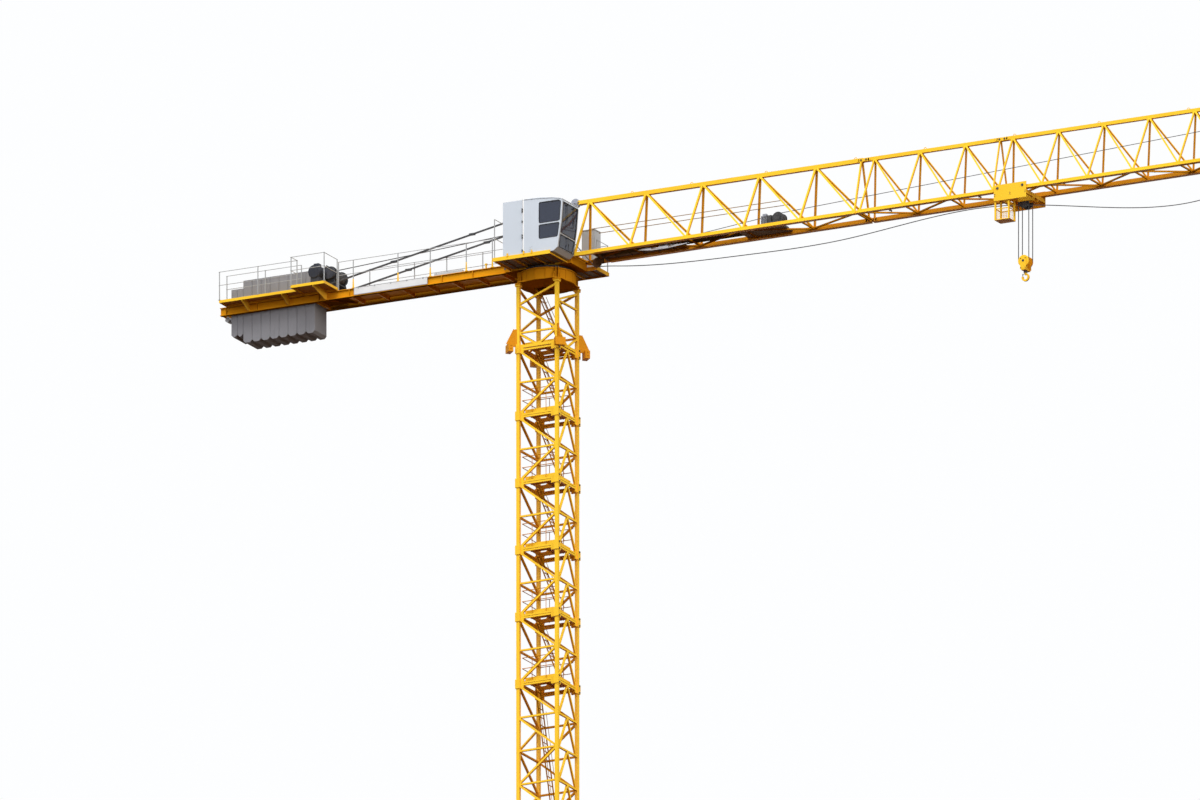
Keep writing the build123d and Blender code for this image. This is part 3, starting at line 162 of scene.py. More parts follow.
class Graph:
    """A short way to write a node tree; a socket gets a value or a link."""

    def __init__(self, tree):
        self.tree = tree
        self.tree.nodes.clear()

    def add(self, kind, sockets=(), **settings):
        node = self.tree.nodes.new(kind)
        for key, value in settings.items():
            setattr(node, key, value)
        for socket, value in dict(sockets).items():
            if isinstance(value, bpy.types.NodeSocket):
                self.tree.links.new(value, node.inputs[socket])
            else:
                node.inputs[socket].default_value = value
        return node

    def noise(self, place, scale, detail=4.0, rough=0.55):
        return self.add("ShaderNodeTexNoise", {
            "Vector": place, "Scale": scale, "Detail": detail, "Roughness": rough}).outputs["Fac"]

    def spread(self, value, low, high, start=0.0, end=1.0):
        return self.add("ShaderNodeMapRange", {
            "Value": value, "From Min": low, "From Max": high, "To Min": start,
            "To Max": end}).outputs["Result"]

    def blend(self, share, first, second):
        return self.add("ShaderNodeMix", {0: share, 6: first, 7: second},
                        data_type="RGBA").outputs[2]

    def vector(self, operation, first, second=(0, 0, 0)):
        return self.add("ShaderNodeVectorMath", {0: first, 1: second},
                        operation=operation).outputs

    def math(self, operation, first, second):
        return self.add("ShaderNodeMath", {0: first, 1: second}, operation=operation).outputs[0]

    def bump(self, height, strength, distance):
        return self.add("ShaderNodeBump", {
            "Height": height, "Strength": strength, "Distance": distance}).outputs["Normal"]

    def seen(self):
        """1 for the rays that show a thing, directly or through glass or a reflection."""
        rays = self.add("ShaderNodeLightPath").outputs
        direct = self.math("MAXIMUM", rays["Is Camera Ray"], rays["Is Glossy Ray"])
        return self.math("MAXIMUM", direct, rays["Is Transmission Ray"])


SOCKET_KINDS = {"Place": "NodeSocketVector", "Facing": "NodeSocketVector",
                "Spread": "NodeSocketVector", "Colour": "NodeSocketColor",
                "Worn": "NodeSocketColor", "Dirt": "NodeSocketColor"}


def new_group(name, inputs, outputs):
    """An empty node group with named sockets, and the sockets that its work starts from."""
    tree = bpy.data.node_groups.new(name, "ShaderNodeTree")
    for side, names in (("INPUT", inputs), ("OUTPUT", outputs)):
        for socket in names:
            tree.interface.new_socket(
                socket, in_out=side, socket_type=SOCKET_KINDS.get(socket, "NodeSocketFloat"))
    graph = Graph(tree)
    return graph, graph.add("NodeGroupInput").outputs


def site_wear_group():
    """Weather on a painted or bare surface: faded patches, rain streaks, rubbed edges, specks."""
    graph, given = new_group("site_wear", ("Place", "Colour", "Worn", "Dirt", "Wear"),
                             ("Colour", "Patches"))

    def worn_by(share, tone, over):
        return graph.blend(graph.math("MULTIPLY", share, given["Wear"]), tone, over)

    patches = graph.spread(graph.noise(given["Place"], 0.9, 3.0), 0.3, 0.75)
    tone = graph.blend(graph.math("MULTIPLY", patches, 0.8), given["Colour"], given["Worn"])
    down = graph.add("ShaderNodeMapping", {"Vector": given["Place"], "Scale": (6.0, 6.0, 0.35)})
    streaks = graph.spread(graph.noise(down.outputs[0], 3.0, 6.0, 0.7), 0.6, 0.82, 0.0, 0.5)
    tone = worn_by(streaks, tone, given["Dirt"])
    edges = graph.add("ShaderNodeNewGeometry").outputs["Pointiness"]
    tone = worn_by(graph.spread(edges, 0.54, 0.62, 0.0, 0.4), tone, given["Worn"])
    specks = graph.spread(graph.noise(given["Place"], 60.0, 5.0), 0.67, 0.75, 0.0, 0.7)
    tone = worn_by(specks, tone, given["Dirt"])
    graph.add("NodeGroupOutput", {"Colour": tone, "Patches": patches})
    return graph.tree


def fine_grain_group():
    """The fine height of a surface: orange-peel on paint, grain on stone or metal."""
    graph, given = new_group("fine_grain", ("Place", "Scale"), ("Height",))
    coarse = graph.noise(given["Place"], given["Scale"], 3.0)
    finer = graph.noise(given["Place"], graph.math("MULTIPLY", given["Scale"], 3.1), 2.0)
    graph.add("NodeGroupOutput", {
        "Height": graph.math("ADD", coarse, graph.math("MULTIPLY", finer, 0.4))})
    return graph.tree


def dust_film_group():
    """A thin pale film of dust in drifting patches."""
    graph, given = new_group("dust_film", ("Place", "Colour", "Dirt", "Amount"), ("Colour",))
    film = graph.spread(graph.noise(given["Place"], 5.0, 5.0), 0.45, 0.8)
    graph.add("NodeGroupOutput", {"Colour": graph.blend(
        graph.math("MULTIPLY", film, given["Amount"]), given["Colour"], given["Dirt"])})
    return graph.tree


def facing_shade_group():
    """Painted shade by facing: 1 keeps the lit colour on top and outside, 0 gives the shade tone
    below and inside.
    """
    graph, given = new_group("facing_shade", ("Place", "Facing", "Spread"), ("Lit",))
    outside = graph.vector("MULTIPLY", given["Place"], given["Spread"])["Vector"]
    outside = graph.vector("NORMALIZE", outside)["Vector"]
    outward = graph.vector("DOT_PRODUCT", outside, given["Facing"])["Value"]
    upward = graph.add("ShaderNodeSeparateXYZ", {0: given["Facing"]}).outputs["Z"]
    graph.add("NodeGroupOutput", {
        "Lit": graph.spread(graph.math("ADD", outward, upward), -0.6, 0.8)})
    return graph.tree


SITE_WEAR = site_wear_group()
FACING_SHADE = facing_shade_group()
FINE_GRAIN = fine_grain_group()
DUST_FILM = dust_film_group()


class Finish(Graph):
    """One material, whose patterns lie on the object's own coordinates."""

    def __init__(self, name):
        self.material = bpy.data.materials.new(name)
        self.material.use_nodes = True
        super().__init__(self.material.node_tree)
        own = self.add("ShaderNodeTexCoord").outputs
        self.place, self.facing = own["Object"], own["Normal"]

    def group(self, tree, **sockets):
        """A shared effect, with this finish's own values."""
        return self.add("ShaderNodeGroup", {"Place": self.place, **sockets},
                        node_tree=tree).outputs

    def worn(self, colour, worn, dirt, wear):
        return self.group(SITE_WEAR, Colour=(*colour, 1), Worn=(*worn, 1), Dirt=(*dirt, 1),
                          Wear=wear)

    def shaded_by_facing(self, spread, shade_tone, pale):
        # painted shade: the shade tone where a face looks in or down, the lit tone elsewhere
        share = self.group(FACING_SHADE, Facing=self.facing, Spread=spread)["Lit"]
        return self.blend(share, (*shade_tone, 1), pale)

    def grain(self, scale, strength, depth):
        return self.bump(self.group(FINE_GRAIN, Scale=scale)["Height"], strength, depth)

    def dusted(self, colour, dust, amount):
        if not isinstance(colour, bpy.types.NodeSocket):
            colour = (*colour, 1)
        return self.group(DUST_FILM, Colour=colour, Dirt=(*dust, 1), Amount=amount)["Colour"]

    def done(self, **sockets):
        shader = self.add("ShaderNodeBsdfPrincipled", {
            key.replace("_", " "): value for key, value in sockets.items()})
        self.add("ShaderNodeOutputMaterial", {"Surface": shader.outputs[0]})
        return self.material


def site_paint(name, base, faded, shade_tone, spread, dirt=GRIME, wear=0.8, gloss=0.0):
    """Site paint, faded in patches, streaked by rain, with a tone of painted shade on the faces
    that look in or down.
    """
    f = Finish(name)
    worn = f.worn(base, faded, dirt, wear)
    shine = f.spread(worn["Patches"], 0.0, 1.0, 0.44, 0.64)
    return f.done(Base_Color=f.shaded_by_facing(spread, shade_tone, worn["Colour"]), Roughness=shine,
                  Specular_IOR_Level=gloss, Normal=f.grain(150.0, 0.1, 0.002))


def crane_yellow(name, shade_tone=ORANGE, spread=ALL_ROUND):
    """The crane's yellow, with a tone of painted shade on the faces that look in or down."""
    return site_paint(name, YELLOW, YELLOW_WORN, shade_tone, spread, wear=0.5, gloss=0.05)


def machine_paint(name, base, rough=0.5):
    """Plain paint on machinery, under a film of dust."""
    f = Finish(name)
    shine = f.spread(f.noise(f.place, 11.0, 3.0), 0.3, 0.7, rough - 0.08, rough + 0.1)
    return f.done(Base_Color=f.dusted(base, shade(base, 0.6, 0.13), 0.3), Roughness=shine,
                  Specular_IOR_Level=0.2, Normal=f.grain(120.0, 0.1, 0.0015))


def cast_concrete():
    """Bare cast concrete: cloudy, with blow holes and run-off streaks."""
    f = Finish("cast_concrete")
    worn = f.worn(CONCRETE, shade(CONCRETE, 1.3), shade(CONCRETE, 0.45), 0.9)
    cells = f.add("ShaderNodeTexVoronoi", {"Vector": f.place, "Scale": 26.0}).outputs["Distance"]
    tone = f.blend(f.spread(cells, 0.06, 0.15, 0.55, 0.0), worn["Colour"], HOLLOW)
    return f.done(Base_Color=tone, Roughness=0.9, Specular_IOR_Level=0.2,
                  Normal=f.bump(f.spread(cells, 0.06, 0.15), 0.3, 0.004))


def hot_dip_zinc(name, base, rough=0.5, metal=0.35):
    """Zinc with a faint spangle and white bloom."""
    f = Finish(name)
    cells = f.add("ShaderNodeTexVoronoi", {"Vector": f.place, "Scale": 90.0})
    spangle = f.spread(cells.outputs["Color"], 0.0, 1.0, 0.0, 0.35)
    tone = f.blend(spangle, (*base, 1), (*shade(base, 0.75), 1))
    return f.done(Base_Color=f.dusted(tone, shade(base, 1.25), 0.6), Metallic=metal,
                  Roughness=rough, Normal=f.grain(120.0, 0.12, 0.001))


def greased_steel():
    """Dark machined steel under a film of grease."""
    f = Finish("greased_steel")
    film = f.spread(f.noise(f.place, 22.0, 6.0), 0.4, 0.7)
    tone = f.blend(film, (*DARK, 1), (*shade(DARK, 2.4, 0.01), 1))
    return f.done(Base_Color=tone, Metallic=0.6, Roughness=f.spread(film, 0.0, 1.0, 0.42, 0.62),
                  Normal=f.grain(90.0, 0.2, 0.001))


def wire_rope():
    """Laid wire: slanting strands with dark grease between them."""
    f = Finish("wire_rope")
    turned = f.add("ShaderNodeMapping", {"Vector": f.place, "Rotation": (0.0, 0.9, 0.6)})
    lay = f.add("ShaderNodeTexWave", {
        "Vector": turned.outputs[0], "Scale": 26.0, "Distortion": 0.4},
        bands_direction="X").outputs["Fac"]
    tone = f.blend(lay, (0.018, 0.018, 0.02, 1), (0.075, 0.075, 0.08, 1))
    return f.done(Base_Color=tone, Metallic=0.4, Roughness=0.55, Normal=f.bump(lay, 0.6, 0.003))


def tinted_glass():
    """Dark tinted cab glazing with a little haze."""
    f = Finish("tinted_glass")
    haze = f.spread(f.noise(f.place, 4.0), 0.4, 0.8, 0.03, 0.12)
    return f.done(Base_Color=(0.035, 0.045, 0.075, 1), Roughness=haze, Specular_IOR_Level=0.5,
                  Alpha=0.84)


def tread_plate():
    """Deck plate with raised bars, dusty where it is trodden; its dark brown tone is painted
    shade.
    """
    f = Finish("walk_plate")
    bars = f.add("ShaderNodeTexBrick", {
        "Vector": f.place, "Scale": 22.0, "Mortar Size": 0.02, "Color1": (1, 1, 1, 1),
        "Color2": (1, 1, 1, 1), "Mortar": (0, 0, 0, 1)})
    tone = f.dusted((0.1, 0.08, 0.06), (0.16, 0.12, 0.08), 0.8)
    return f.done(Base_Color=tone, Roughness=0.6, Specular_IOR_Level=0.0,
                  Normal=f.bump(bars.outputs["Fac"], 0.3, 0.003))


def board_face():
    """A plain white board with faint waves in its sheet."""
    f = Finish("board_face")
    tone = f.dusted((0.72, 0.73, 0.75), (0.5, 0.52, 0.54), 0.5)
    waves = f.bump(f.noise(f.place, 5.0, 3.0), 0.3, 0.01)
    return f.done(Base_Color=tone, Roughness=0.45, Normal=waves)


PAINT = crane_yellow("upper_yellow", spread=SIDEWAYS)
MAST_PAINT = crane_yellow("mast_yellow")
LEG_PAINT = crane_yellow("leg_yellow", LEG_SHADE)
DECK_PAINT = crane_yellow("deck_yellow", DECK_SHADE)
TAIL_PAINT = crane_yellow("tail_yellow", TAIL_SHADE, TO_THE_MAST)
# A darker copy of the yellow all over, which paints shade on the ring support, turntable, ladders,
# guard rails, lugs, cap plates, floor bracing and platform ribs
SHADED_YELLOW_PAINT = site_paint("shaded_yellow_paint", SHADED_YELLOW, ORANGE, shade(ORANGE, 0.5), ALL_ROUND)
# Beam paint, whose darker tone on the inner and lower faces is painted shade
BEAM_PAINT = site_paint("beam_yellow", BEAM_YELLOW, SHADED_YELLOW, shade(ORANGE, 0.4), SIDEWAYS)
# A darker copy of the yellow, which paints shade on the climbing brackets and the counter-jib's
# floor
BRACKET_PAINT = site_paint("bracket_yellow", SHADED_YELLOW, ORANGE, ORANGE, ALL_ROUND, wear=0.6,
                           gloss=0.05)
CAB = site_paint("cab_paint", CAB_PAINT, shade(CAB_PAINT, 0.93), CAB_SHADE, SIDEWAYS, CAB_DIRT,
                 wear=0.35, gloss=0.12)
RAIL_PAINT = machine_paint("handrail_paint", (0.26, 0.13, 0.01), rough=0.9)
SHADE_PAINT = machine_paint("shaded_paint", (0.07, 0.028, 0.007), rough=0.9)
TIE = machine_paint("tie_paint", (0.055, 0.058, 0.065))
WINCH_PAINT = machine_paint("winch_paint", SLATE)
STRIP = machine_paint("strip_paint", (0.8, 0.82, 0.84), rough=0.4)
RUBBER = machine_paint("black_rubber", (0.02, 0.02, 0.021), rough=0.7)
GREY = machine_paint("cabinet_paint", (0.5, 0.52, 0.54))
MOTOR_PAINT = machine_paint("motor_paint", (0.3, 0.32, 0.38))
RAIL = hot_dip_zinc("rail_zinc", ZINC)
BRIGHT = hot_dip_zinc("bright_zinc", (0.72, 0.74, 0.82), rough=0.4, metal=0.5)
STONE = cast_concrete()
STEEL = greased_steel()
ROPE = wire_rope()
GLASS = tinted_glass()
GRATE = tread_plate()
BOARD = board_face()

FINISHES = {
    "frame_yellow": PAINT, "cab_grey": CAB, "cab_glass": GLASS, "ballast_concrete": STONE,
    "dark_steel": STEEL, "rail_grey": RAIL, "tie_steel": TIE, "winch_slate": WINCH_PAINT,
    "board_white": BOARD, "rope_steel": ROPE}
# The darker copies of the yellow below paint shade on the parts that lie in it
OWN_FINISH = {
    "base_section_legs": LEG_PAINT, "standard_section_legs": LEG_PAINT,
    "head_section_legs": LEG_PAINT, "climbing_brackets": BRACKET_PAINT,
    "mast_platforms": DECK_PAINT, "mast_ladders": SHADED_YELLOW_PAINT, "ring_support": SHADED_YELLOW_PAINT,
    "turntable": SHADED_YELLOW_PAINT, "head_link": MOTOR_PAINT, "root_sheave": SHADE_PAINT,
    "switch_cabinet": GREY, "counter_jib_beams": BEAM_PAINT, "counter_jib_floor": BRACKET_PAINT,
    "tail_platform": TAIL_PAINT, "hoist_drum": STEEL, "jib_floor_bracing": SHADED_YELLOW_PAINT,
    "jib_handrails": RAIL_PAINT, "jib_walkway": GRATE, "trolley_winch": STEEL}


def paint_frame():
    """Give every piece of the frame its finish."""
    on_mast = frame["record"]["behaviour"]["bodies"]["mast"]
    for part in frame["record"]["subparts"]:
        name = part["node"]
        finish = OWN_FINISH.get(name, FINISHES[part["material_slot"]])
        if finish is PAINT and name in on_mast:
            finish = MAST_PAINT
        for slot in nodes[name].material_slots:
            slot.material = finish


# Forms: each piece is one mesh made of many small ones

def between(a, b):
    """A matrix at the middle of a line, whose Z runs along it, and the line's length."""
    a, b = Vector(a), Vector(b)
    turn = (b - a).to_track_quat("Z", "X").to_matrix().to_4x4()
    return Matrix.Translation((a + b) / 2) @ turn, (b - a).length


def with_neighbours(spots):
    """Each corner of an outline between the one before and the one after it."""
    return list(zip(spots[-1:] + spots[:-1], spots, spots[1:] + spots[:1]))


def corner_reach(before, corner, after):
    """How far a pane's round corner reaches along its two edges."""
    return min(SEAL_CORNER, 0.48 * (before - corner).length, 0.48 * (after - corner).length)


def steps(start, stop, step):
    """Places at even steps, as far as stop."""
    while start < stop:
        yield start
        start += step


def leg_places(half):
    """The corners of a square round the mast's axis."""
    return [(x, y) for x in (-half, half) for y in (-half, half)]


def round_mast(count, radius, level):
    """Places in a level circle round the mast's axis."""
    return [Vector((cos(turn) * radius, sin(turn) * radius, level))
            for turn in row(0, 2 * pi / count, count)]


def round_axle(middle, radius, turns):
    """Places in an upright circle round an axle that lies along Y."""
    return [Vector(middle) + Vector((cos(turn), 0, sin(turn))) * radius for turn in turns]


class Form:
    """One mesh in the making; its edges may be bevelled and its faces smooth."""

    def __init__(self):
        self.bm = bmesh.new()
        self.bevel = 0.0
        self.smooth = False

    def block(self, place, half):
        """A box round its middle, from half its sizes."""
        size = Matrix.Diagonal([abs(part) * 2 for part in half] + [1])
        bmesh.ops.create_cube(self.bm, size=1.0, matrix=Matrix.Translation(place) @ size)

    def box(self, a, b):
        """A box between two corners."""
        a, b = Vector(a), Vector(b)
        self.block((a + b) / 2, (b - a) / 2)

    def bar(self, a, b, width, depth):
        """A square bar from a to b."""
        matrix, length = between(a, b)
        size = Matrix.Diagonal((width, depth, length, 1))
        bmesh.ops.create_cube(self.bm, size=1.0, matrix=matrix @ size)

    def rod(self, a, b, radius, sides=10, end=None):
        """A rod from a to b; end is the radius at b if it tapers."""
        matrix, length = between(a, b)
        tip = radius if end is None else end
        bmesh.ops.create_cone(self.bm, cap_ends=True, segments=sides, radius1=radius,
                              radius2=tip, depth=length, matrix=matrix)

    def post(self, foot, height, radius, sides, end=None):
        """A rod that stands on a place."""
        self.rod(foot, Vector(foot) + UP * height, radius, sides, end)

    def pin(self, place, half, radius, sides):
        """A rod along Y through a place."""
        reach = Vector((0, half, 0))
        self.rod(Vector(place) - reach, Vector(place) + reach, radius, sides)

    def bolt(self, place, out, radius):
        """A hexagon head on a washer, its shank end showing."""
        place, out = Vector(place), Vector(out).normalized() * radius
        self.rod(place, place + out * 0.35, radius * 1.25, 12)
        self.rod(place + out * 0.3, place + out * 1.1, radius, 6)
        self.rod(place + out, place + out * 1.5, radius * 0.5, 8)

    def loop(self, points, radius, sides=6):
        """A bent rod through points, with a ball joint's worth of overlap."""
        for a, b in zip(points, points[1:]):
            step = (Vector(b) - Vector(a)).normalized() * radius * 0.6
            self.rod(Vector(a) - step, Vector(b) + step, radius, sides)

    def eye(self, foot, across, height, radius):
        """A lifting eye: half a hoop whose middle is at foot."""
        self.loop([Vector(foot) + Vector(across) * cos(turn) + UP * height * sin(turn)
                   for turn in row(0, pi / 6, 7)], radius)

    def outward(self):
        """Turn every face outwards."""
        bmesh.ops.recalc_face_normals(self.bm, faces=self.bm.faces)

    def thicken(self, faces, step):
        """Give a flat sheet its thickness."""
        grown = bmesh.ops.extrude_face_region(self.bm, geom=faces, use_keep_orig=True)["geom"]
        verts = [item for item in grown if isinstance(item, bmesh.types.BMVert)]
        bmesh.ops.translate(self.bm, verts=verts, vec=step)

    def plate(self, points, thick, out):
        """A flat plate with a drawn outline, half its thickness to each side of it."""
        step = Vector(out).normalized() * thick / 2
        face = self.bm.faces.new([self.bm.verts.new(Vector(point) - step) for point in points])
        if face.normal.dot(step) > 0:
            face.normal_flip()
        self.thicken([face], step * 2)

    def corner_filler(self, before, corner, after, thick, out):
        """A plate with a hollow arc that rounds off one sharp corner of an opening."""
        reach = corner_reach(before, corner, after)
        start = corner + (before - corner).normalized() * reach
        end = corner + (after - corner).normalized() * reach
        half = (before - corner).angle(after - corner) / 2
        middle = corner + (start + end - corner * 2).normalized() * reach / cos(half)
        first, last = (start - middle).normalized(), (end - middle).normalized()
        radius = (start - middle).length
        arc = [middle + first.slerp(last, share / 6) * radius for share in range(7)]
        self.plate([corner] + arc, thick, out)

    def seal(self, spots, depth):
        """A flat seal with round corners, inside an outline."""
        made = Form()
        rim = [made.bm.verts.new(spot) for spot in spots]
        made.bm.faces.new(rim)
        made.bm.normal_update()
        for vert, near in zip(rim, with_neighbours(spots)):
            bmesh.ops.bevel(made.bm, geom=[vert], offset=corner_reach(*near), segments=4,
                            profile=0.5, affect="VERTICES", material=-1)
        made.bm.faces.ensure_lookup_table()
        face = made.bm.faces[0]
        bmesh.ops.inset_region(made.bm, faces=[face], thickness=SEAL_WIDTH, use_boundary=True,
                               use_even_offset=True)
        bmesh.ops.delete(made.bm, geom=[face], context="FACES")
        made.thicken(made.bm.faces[:], depth)
        made.outward()
        mesh = made.finished("seal")
        self.bm.from_mesh(mesh)
        bpy.data.meshes.remove(mesh)

    def winding(self, middle, radius, half, pitch, thick, around=20):
        """A rope wound on a drum that lies along Y, over half its length to each side."""
        start = Matrix.Translation((middle.x + radius, -half, middle.z))
        ring = bmesh.ops.create_circle(self.bm, segments=6, radius=thick, matrix=start)["verts"]
        edges = list({edge for vert in ring for edge in vert.link_edges})
        turns = half * 2 / pitch
        bmesh.ops.spin(self.bm, geom=ring + edges, cent=middle, axis=(0, -1, 0),
                       dvec=(0, pitch / around, 0), angle=2 * pi * turns,
                       steps=int(turns * around))
        self.outward()
        self.smooth = True

    def finished(self, name):
        """The mesh, with its bevels and shading."""
        if self.bevel:
            bmesh.ops.bevel(self.bm, geom=self.bm.edges[:], offset=self.bevel, segments=1,
                            profile=0.5, affect="EDGES", material=-1)
        for face in self.bm.faces:
            face.smooth = self.smooth
        mesh = bpy.data.meshes.new(name)
        self.bm.to_mesh(mesh)
        self.bm.free()
        return mesh


def piece(name, body, finish, build):
    """One named mesh piece, made by build, that rides on a body."""
    form = Form()
    build(form)
    thing = bpy.data.objects.new(name, form.finished(name))
    bpy.context.scene.collection.objects.link(thing)
    thing.data.materials.append(finish)
    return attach(thing, body) if body else thing


# Mast

def joint_pins(form):
    """The pins through the leg blocks above and below every joint."""
    for z in JOINTS:
        for x, y in leg_places(LEG):
            for level in (z - 0.062, z + 0.062):
                form.rod((x - 0.06, y, level), (x + 0.06, y, level), 0.017, 8)


def mast_guard_rails(form):
    """Thin guard rails round each platform, between the legs."""
    half = LEG - 0.05
    knee, top = 0.3, 0.5
    for z in JOINTS[:-1]:
        for level in (z + knee, z + top):
            for y in (-half, half):
                form.rod((-half, y, level), (half, y, level), 0.007, 6)
            form.rod((-half, -half, level), (-half, half, level), 0.007, 6)
        for x in (-0.14, 0.14):
            for y in (-half, half):
                form.post((x, y, z + 0.06), top - 0.06, 0.006, 6)


def anchor_nuts(form):
    """Nuts and thread ends on the foot plates."""
    for x, y in leg_places(LEG):
        for dx, dy in leg_places(0.115):
            form.bolt((x + dx, y + dy, FOOT_TOP), UP, 0.02)


def foot_stiffeners(form):
    """Upright ribs from the foot plates to the legs."""
    for x, y in leg_places(LEG):
        for dx, dy in ((1, 0), (-1, 0), (0, 1), (0, -1)):
            out = Vector((dx, dy, 0))
            foot = Vector((x, y, FOOT_TOP)) + out * 0.045
            form.plate([foot, foot + out * 0.06, foot + UP * 0.11], 0.012, (-dy, dx, 0))
    form.outward()


def ring_bolts(form):
    """The circle of bolts under the ring support's flange."""
    for place in round_mast(48, 0.468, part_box("ring_support")[1].z - 0.02):
        form.bolt(place, -UP, 0.009)


def support_lugs(form):
    """Ribs round the ring support, under its flange, between the brackets over the legs."""
    low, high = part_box("ring_support")
    for index, foot in enumerate(round_mast(16, 0.499, low.z + 0.02)):
        if index % 4 != 2:
            form.bar(foot, foot + UP * (high.z - low.z - 0.04), 0.008, 0.022)


def leg_cap_plates(form):
    """Pairs of A-shaped plates that tie each leg's cap to the ring support."""
    for x, y in leg_places(LEG):
        out = Vector((x, y, 0)).normalized()
        across = Vector((-out.y, out.x, 0))
        cap = Vector((x, y, MAST_TOP)) - out * 0.012
        form.block(cap - UP * 0.018, (0.058, 0.058, 0.018))
        for step in (-0.042, 0.042):
            middle = cap + across * step
            for lean in (-1, 1):
                form.bar(middle + across * lean * 0.028,
                         middle + across * lean * 0.006 + UP * 0.13, 0.016, 0.014)
            rung = middle + UP * 0.05
            form.bar(rung - across * 0.02, rung + across * 0.02, 0.012, 0.012)


def deck_ribs(form):
    """Folded ribs across the underside of each mast deck."""
    for z in JOINTS:
        for y in (-0.24, -0.12):
            form.box((-0.28, y - 0.008, z + 0.03), (0.28, y + 0.008, z + 0.0555))


def mast_pads(form):
    """Corner gussets inside each deck."""
    for z in JOINTS:
        for x, y in leg_places(LEG - 0.09):
            form.block((x, y, z + 0.062), (0.035, 0.035, 0.004))


def ladder_lines(form):
    """Hand lines beside each ladder, on short brackets."""
    lift = Vector((0.045, 0, 0.02))
    for foot, head in zip(LADDER_ENDS, LADDER_ENDS[1:]):
        for y in (0.03, 0.255):
            a, b = Vector((0.232, y, foot)), Vector((-0.274, y, head))
            form.rod(a.lerp(b, 0.15) + lift, a.lerp(b, 0.88) + lift, 0.005, 6)
            for share in (0.2, 0.8):
                place = a.lerp(b, share)
                form.rod(place, place + lift, 0.004, 6)


def bracket_ribs(form):
    """Edge flanges and bolts on the climbing brackets."""
    for x, y in leg_places(LEG):
        out = Vector((x, y, 0)).normalized()
        across = Vector((-out.y, out.x, 0))
        leg = Vector((x, y, JOINTS[-1] + 0.042))
        form.bar(leg + out * 0.074 + UP * 0.32, leg + out * 0.211 + UP * 0.035, 0.05, 0.006)
        for turn in (-1, 1):
            for rise in (-0.06, 0.0):
                form.bolt(leg + out * 0.17 + across * turn * 0.095 + UP * rise, across * turn,
                          0.009)


# Cab

def side_panes(sunk):
    """Each side window's outline, sunk a little into its wall, and the way out of it."""
    for side, wall in ((-1, CAB_LOW.y), (1, CAB_HIGH.y)):
        for pane in CAB_PANES:
            yield side, [Vector((x, wall - side * sunk, CAB_LOW.z + z)) for x, z in pane]


def cab_seals(form):
    """Dark seals with round corners on the near and far side windows."""
    for side, spots in side_panes(0.004):
        form.seal(spots, (0, side * 0.008, 0))


def cab_corners(form):
    """Fillers that round the corners of the side windows."""
    for side, spots in side_panes(0.003):
        for near in with_neighbours(spots):
            form.corner_filler(*near, 0.005, (0, side, 0))
    form.outward()


def cab_front_seals(form):
    """Seals round the two front panes and the bar between them."""
    left, right = CAB_LOW.y + 0.039, CAB_HIGH.y - 0.039
    for rows in FRONT_PANES:
        side = [(x, z + CAB_LOW.z) for x, z in rows]
        rim = [(x, left, z) for x, z in side] + [(x, right, z) for x, z in side[::-1]]
        form.loop(rim + rim[:1], 0.007)


def cab_trim(form):
    """The lips along both sides and the front of the roof."""
    roof = ((0.018, 0.006), (0.21, 0.0135), (0.4, 0.0245), (0.6, 0.044), (0.768, 0.078))
    for side in (CAB_LOW.y - 0.004, CAB_HIGH.y + 0.004):
        form.loop([(x, side, CAB_HIGH.z - drop) for x, drop in roof], 0.006)
    brow = CAB_HIGH.z - 0.088
    form.loop([(0.79, CAB_LOW.y, brow), (0.79, CAB_HIGH.y, brow)], 0.009)


def cab_strip(form):
    """The pale strip that covers the gap between the screen and the cab."""
    x, y = CAB_LOW.x, CAB_LOW.y
    form.bevel = 0.003
    form.box((x - 0.014, y - 0.012, CAB_LOW.z), (x + 0.01, y + 0.002, CAB_HIGH.z + 0.018))


def cab_clamps(form):
    """Dark clamps and hinge pins on the strip, and a dark bar beside it that paints the shadow in
    the gap.
    """
    x, y = CAB_LOW.x, CAB_LOW.y
    form.box((x - 0.019, y - 0.004, CAB_LOW.z), (x - 0.014, y + 0.002, CAB_HIGH.z + 0.012))
    for share in (0.08, 0.31, 0.35, 0.6, 0.78, 0.82):
        z = CAB_LOW.z + (CAB_HIGH.z - CAB_LOW.z) * share
        form.box((x - 0.022, y - 0.018, z - 0.014), (x - 0.004, y, z + 0.014))
        form.post((x - 0.024, y - 0.014, z - 0.024), 0.048, 0.005, 6)


def cab_wipers(form):
    """Two wipers on the upper front pane and one on the lower."""
    for y, x0, z0, x1, z1 in ((-0.8, 0.80, 0.86, 0.778, 0.56), (-0.55, 0.80, 0.86, 0.778, 0.56),
                              (-0.66, 0.742, 0.29, 0.728, 0.11)):
        hinge = Vector((x0 + 0.006, y, CAB_LOW.z + z0))
        tip = Vector((x1 + 0.004, y + 0.05, CAB_LOW.z + z1))
        form.rod(hinge, tip, 0.004, 6)
        form.rod(tip + Vector((0.001, -0.01, -0.06)), tip + Vector((0.003, 0.01, 0.09)), 0.005, 6)
        form.block(hinge, (0.01, 0.014, 0.012))


def cab_grips(form):
    """Grab rails, and the rear door's handle."""
    rear, floor = CAB_LOW.x, CAB_LOW.z
    for y in (-0.84, -0.46):
        form.loop([(rear, y, floor + 0.3), (rear - 0.03, y, floor + 0.32),
                   (rear - 0.03, y, floor + 0.72), (rear, y, floor + 0.74)], 0.006)
    form.box((rear - 0.02, -0.56, floor + 0.44), (rear, -0.53, floor + 0.5))
    for z in (0.18, 0.96):
        form.rod((0.1, CAB_HIGH.y + 0.02, floor + z), (0.3, CAB_HIGH.y + 0.02, floor + z),
                 0.006, 6)


